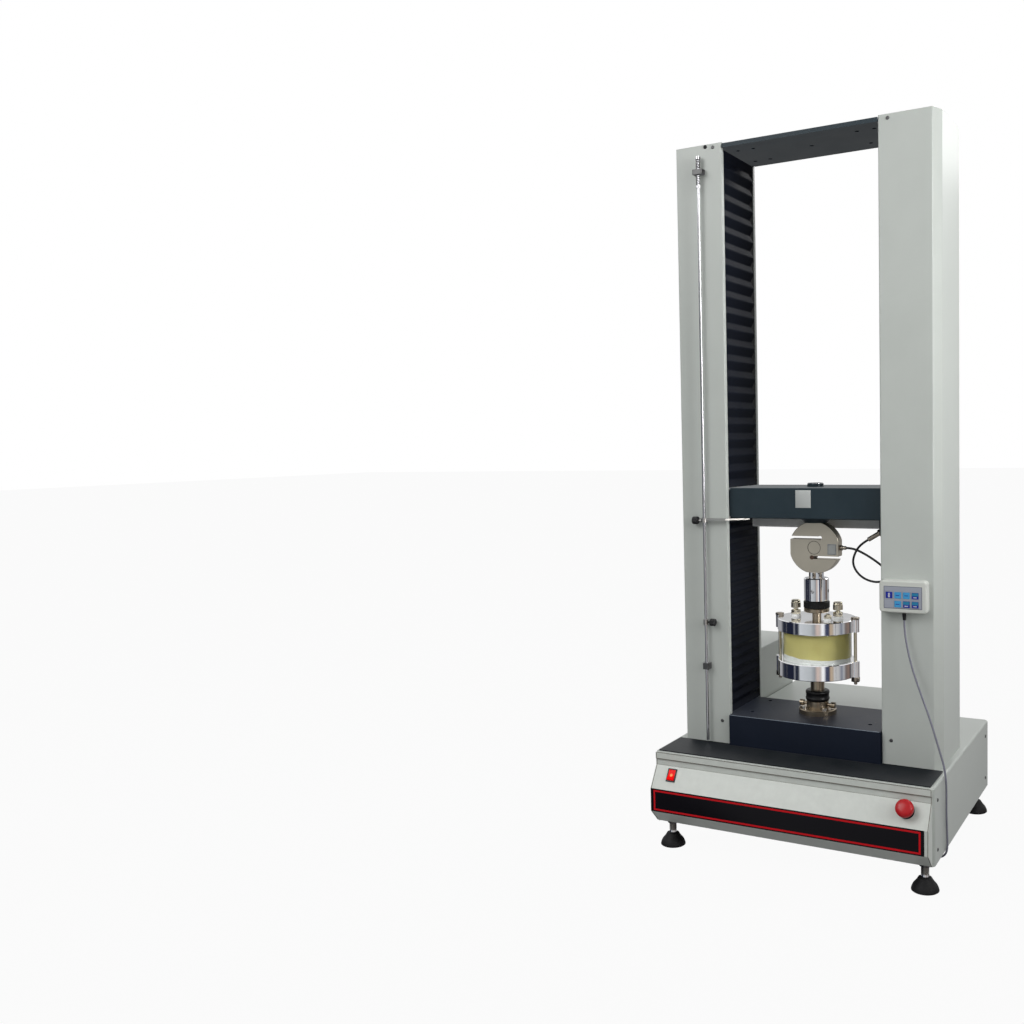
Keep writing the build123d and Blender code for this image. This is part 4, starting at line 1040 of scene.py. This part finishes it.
def makeLockCollar():
    r, low, high, waist, bore = (lockCollar[name] for name in ("radius", "low", "high", "waist", "bore"))
    side = roundedPath((r - 5, low), (r - 1, low), (r, low + 3), (r, low + 7)) + \
        [(r - waist, low + 8.5), (r - waist, high - 8.5)] + \
        roundedPath((r, high - 7), (r, high - 3), (r - 1, high), (r - 5, high))
    addPiece("postLockCollar", [spun([(bore, low)] + side + [(bore, high)], upright(), ring=True)],
             "blackMoulding", "lock_collar", 50, ["lock_collar"])
    ring = knurled(lockRing["radius"], lockRing["bore"], lockRing["low"], lockRing["high"], upright(),
                   lockRing["ridges"], lockRing["depth"])
    addPiece("adaptorLockRing", [ring], "blackMoulding", "lock_ring",
             replaced=["lock_ring"])


makeCellFilling()
makeTieNuts()
makeValves()
makeVentPlug()
makeSeatBolts()
makeTableTrim()
makeLockCollar()
print("test cell dressed")


# Limit rod: springs at its upper clamp and fluted thumb knobs

limitRod = {"x": -247, "y": -115, "clamp": 1638, "coil": 4.9, "wire": 0.7, "turns": 6,
            "springs": {"limitRodUpperSpring": (6.6, 29.6), "limitRodLowerSpring": (-6.6, -31.6)}}
thumbKnobs = {"stopHeight": 545, "stop": 9, "stopNear": 12, "stopFar": 26, "arm": 9.5, "armLong": 15,
              "bore": 2.5}


def makeLimitRodParts():
    facts = limitRod
    x, y, clamp = facts["x"], facts["y"], facts["clamp"]
    # Each spring stands on the clamp and reaches the rod's collar at its other end
    for name, heights in facts["springs"].items():
        fixed, moving = (clamp + height for height in heights)
        coil = coiled(facts["coil"], facts["wire"], min(fixed, moving), max(fixed, moving), facts["turns"],
                      upright(x, y))
        spring = addPiece(name, [coil], "darkSteel", None)
        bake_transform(spring)
    knobs = thumbKnobs
    bore, near, far = knobs["bore"], knobs["stopNear"], knobs["stopFar"]
    where = facingSide(x, y, knobs["stopHeight"], 1)
    addPiece("stopThumbKnob", [
        knurled(knobs["stop"], bore, near, far, where, ridges=18, depth=0.7, soften=1.2),
        spun([(0, 4.1), (bore - 0.1, 4.1), (bore - 0.1, far - 1), (0, far - 1)], where, steps=24)],
        "blackMoulding", "stop_knob", replaced=["stop_knob"])
    # The other knob is over the round end of the trip arm
    low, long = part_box("trip_arm")[0] * 1000, knobs["armLong"]
    where = facingSide(low.x + long - 1, y, low.z + 6, -1)
    addPiece("armThumbKnob", [
        knurled(knobs["arm"], bore, 0, long, where, ridges=18, depth=0.7, soften=1.5),
        spun([(0, 0.5), (bore + 0.5, 0.5), (bore + 0.5, long - 0.4), (0, long - 0.4)], where, steps=24)],
        "blackMoulding", "crosshead")


makeLimitRodParts()


# Screws that hold the covers

coverScrews = {
    "head": 4.2, "height": 1.6, "slot": 1.6, "columnFace": -104, "cheekFace": 338, "rearFace": 381.8,
    "boxFace": 359.8,
    "front": [(-212, 298), (212, 298), (-212, 1694), (212, 1694)],
    "cheek": [(-195, 206), (340, 206), (-195, 96), (340, 96)],
    "rear": [(-310, 92), (0, 92), (310, 92), (-310, 222), (310, 222)],
    "boxRear": [(-315, 252), (-211, 252), (-315, 428), (-211, 428)],
}
columnPlug = {"x": -232, "z": 1697.6, "radius": 4.6}


def makeCoverScrews():
    facts = coverScrews
    head, high, slot = facts["head"], facts["height"], facts["slot"]
    profile = [(0, high - 0.9), (slot, high - 0.9), (slot + 0.2, high), (head - 1.4, high), (head, 0.4),
               (head, -0.2), (0, -0.2)]
    places = [facingFront(x, facts["columnFace"], z) for x, z in facts["front"]]
    places += [facingSide(side * facts["cheekFace"], y, z, side)
               for y, z in facts["cheek"] for side in (-1, 1)]
    places += [facingBack(x, facts["rearFace"], z) for x, z in facts["rear"]]
    places += [facingBack(x, facts["boxFace"], z) for x, z in facts["boxRear"]]
    addPiece("coverScrews", [spun(profile, where, steps=24) for where in places], "darkSteel", "root")
    r = columnPlug["radius"]
    plug = spun([(0, 1.8), (0.7 * r, 1.8), (r, 0.6), (r, -0.2), (0, -0.2)],
                facingFront(columnPlug["x"], facts["columnFace"], columnPlug["z"]), steps=40)
    addPiece("columnPlug", [plug], "blackRubber", "root")


makeCoverScrews()
print("small parts fitted")


# Keypad: overlay with openings for the keys, and a plain mark on each key

keypad = {"face": -129, "left": 204, "right": 290, "bottom": 608, "top": 658.5, "thick": 0.35, "edge": 1.2,
          "edgeProud": 0.1, "gap": 0.6, "markProud": 0.25, "shadeProud": 0.12, "arrowThick": 0.3}
keyFace = (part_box("key_1")[0].y - loadLineY) * 1000


def keyBox(number):
    low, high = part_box("key_" + str(number))
    return [value * 1000 for value in (low.x, high.x, low.z, high.z)]


def makeKeypadOverlay():
    sides = [keypad[name] for name in ("left", "right", "bottom", "top")]
    part = frontSheet(*sides, keypad["face"])
    gap = keypad["gap"]
    holes = [(x0 - gap, x1 + gap, z0 - gap, z1 + gap) for x0, x1, z0, z1 in map(keyBox, range(1, 8))]
    for x0, x1, z0, z1 in holes:
        for point, normal in (((x0, 0, 0), (1, 0, 0)), ((x1, 0, 0), (1, 0, 0)),
                              ((0, 0, z0), (0, 0, 1)), ((0, 0, z1), (0, 0, 1))):
            bmesh.ops.bisect_plane(part, geom=part.verts[:] + part.edges[:] + part.faces[:], dist=1e-7,
                                   plane_co=[value / 1000 for value in point], plane_no=normal)
    inside = [face for face in part.faces if any(
        x0 < face.calc_center_median().x * 1000 < x1 and z0 < face.calc_center_median().z * 1000 < z1
        for x0, x1, z0, z1 in holes)]
    bmesh.ops.delete(part, geom=inside, context="FACES")
    addPiece("keypadOverlay", [thickened(part, keypad["thick"])], "overlayGrey", "root")
    line = frameLine(*sides, keypad["edge"], keypad["face"] - keypad["thick"], keypad["edgeProud"])
    addPiece("keypadOverlayEdge", [line], "overlayEdge", "root")


def arrow(x, z, size, turn):
    # A flat triangle on a key's face
    part = bmesh.new()
    bmesh.ops.create_cone(part, cap_ends=True, segments=3, radius1=size / 1000, radius2=size / 1000,
                          depth=keypad["arrowThick"] / 1000)
    turned = Matrix.Rotation(math.radians(turn), 3, "Z")
    bmesh.ops.rotate(part, cent=(0, 0, 0), matrix=turned, verts=part.verts)
    return placed(part, facingFront(x, keyFace - 0.1, z))


def stroke(x, z, wide, tall):
    return bar((x - wide / 2, keyFace - keypad["markProud"], z - tall / 2),
               (x + wide / 2, keyFace + 0.05, z + tall / 2))


def makeKeyMarks():
    # Plain arrows and strokes; the blue keys have a paler upper half
    for number in range(1, 8):
        x0, x1, z0, z1 = keyBox(number)
        x, z, wide = (x0 + x1) / 2, (z0 + z1) / 2, x1 - x0
        name, body = "key" + str(number), "key_" + str(number)
        sky = number in (2, 3, 5)
        if number == 1:
            parts = [arrow(x, z + 3, 2.8, 0), arrow(x, z - 3, 2.8, 180), stroke(x, z, 2, 5)]
        else:
            parts = [stroke(x, z, 0.55 * wide, 1.8) if sky else stroke(x, z - 3.4, 0.5 * wide, 1.4)]
        addPiece(name + "Mark", parts, "keyBlue" if sky else "whiteNylon", body, 30)
        if number in (4, 6, 7):
            shade = bar((x0 + 0.5, keyFace - keypad["shadeProud"], z), (x1 - 0.5, keyFace + 0.05, z1 - 0.5))
            addPiece(name + "Shade", [shade], "keyTeal", body, 30)


makeKeypadOverlay()
makeKeyMarks()
print("keypad dressed")
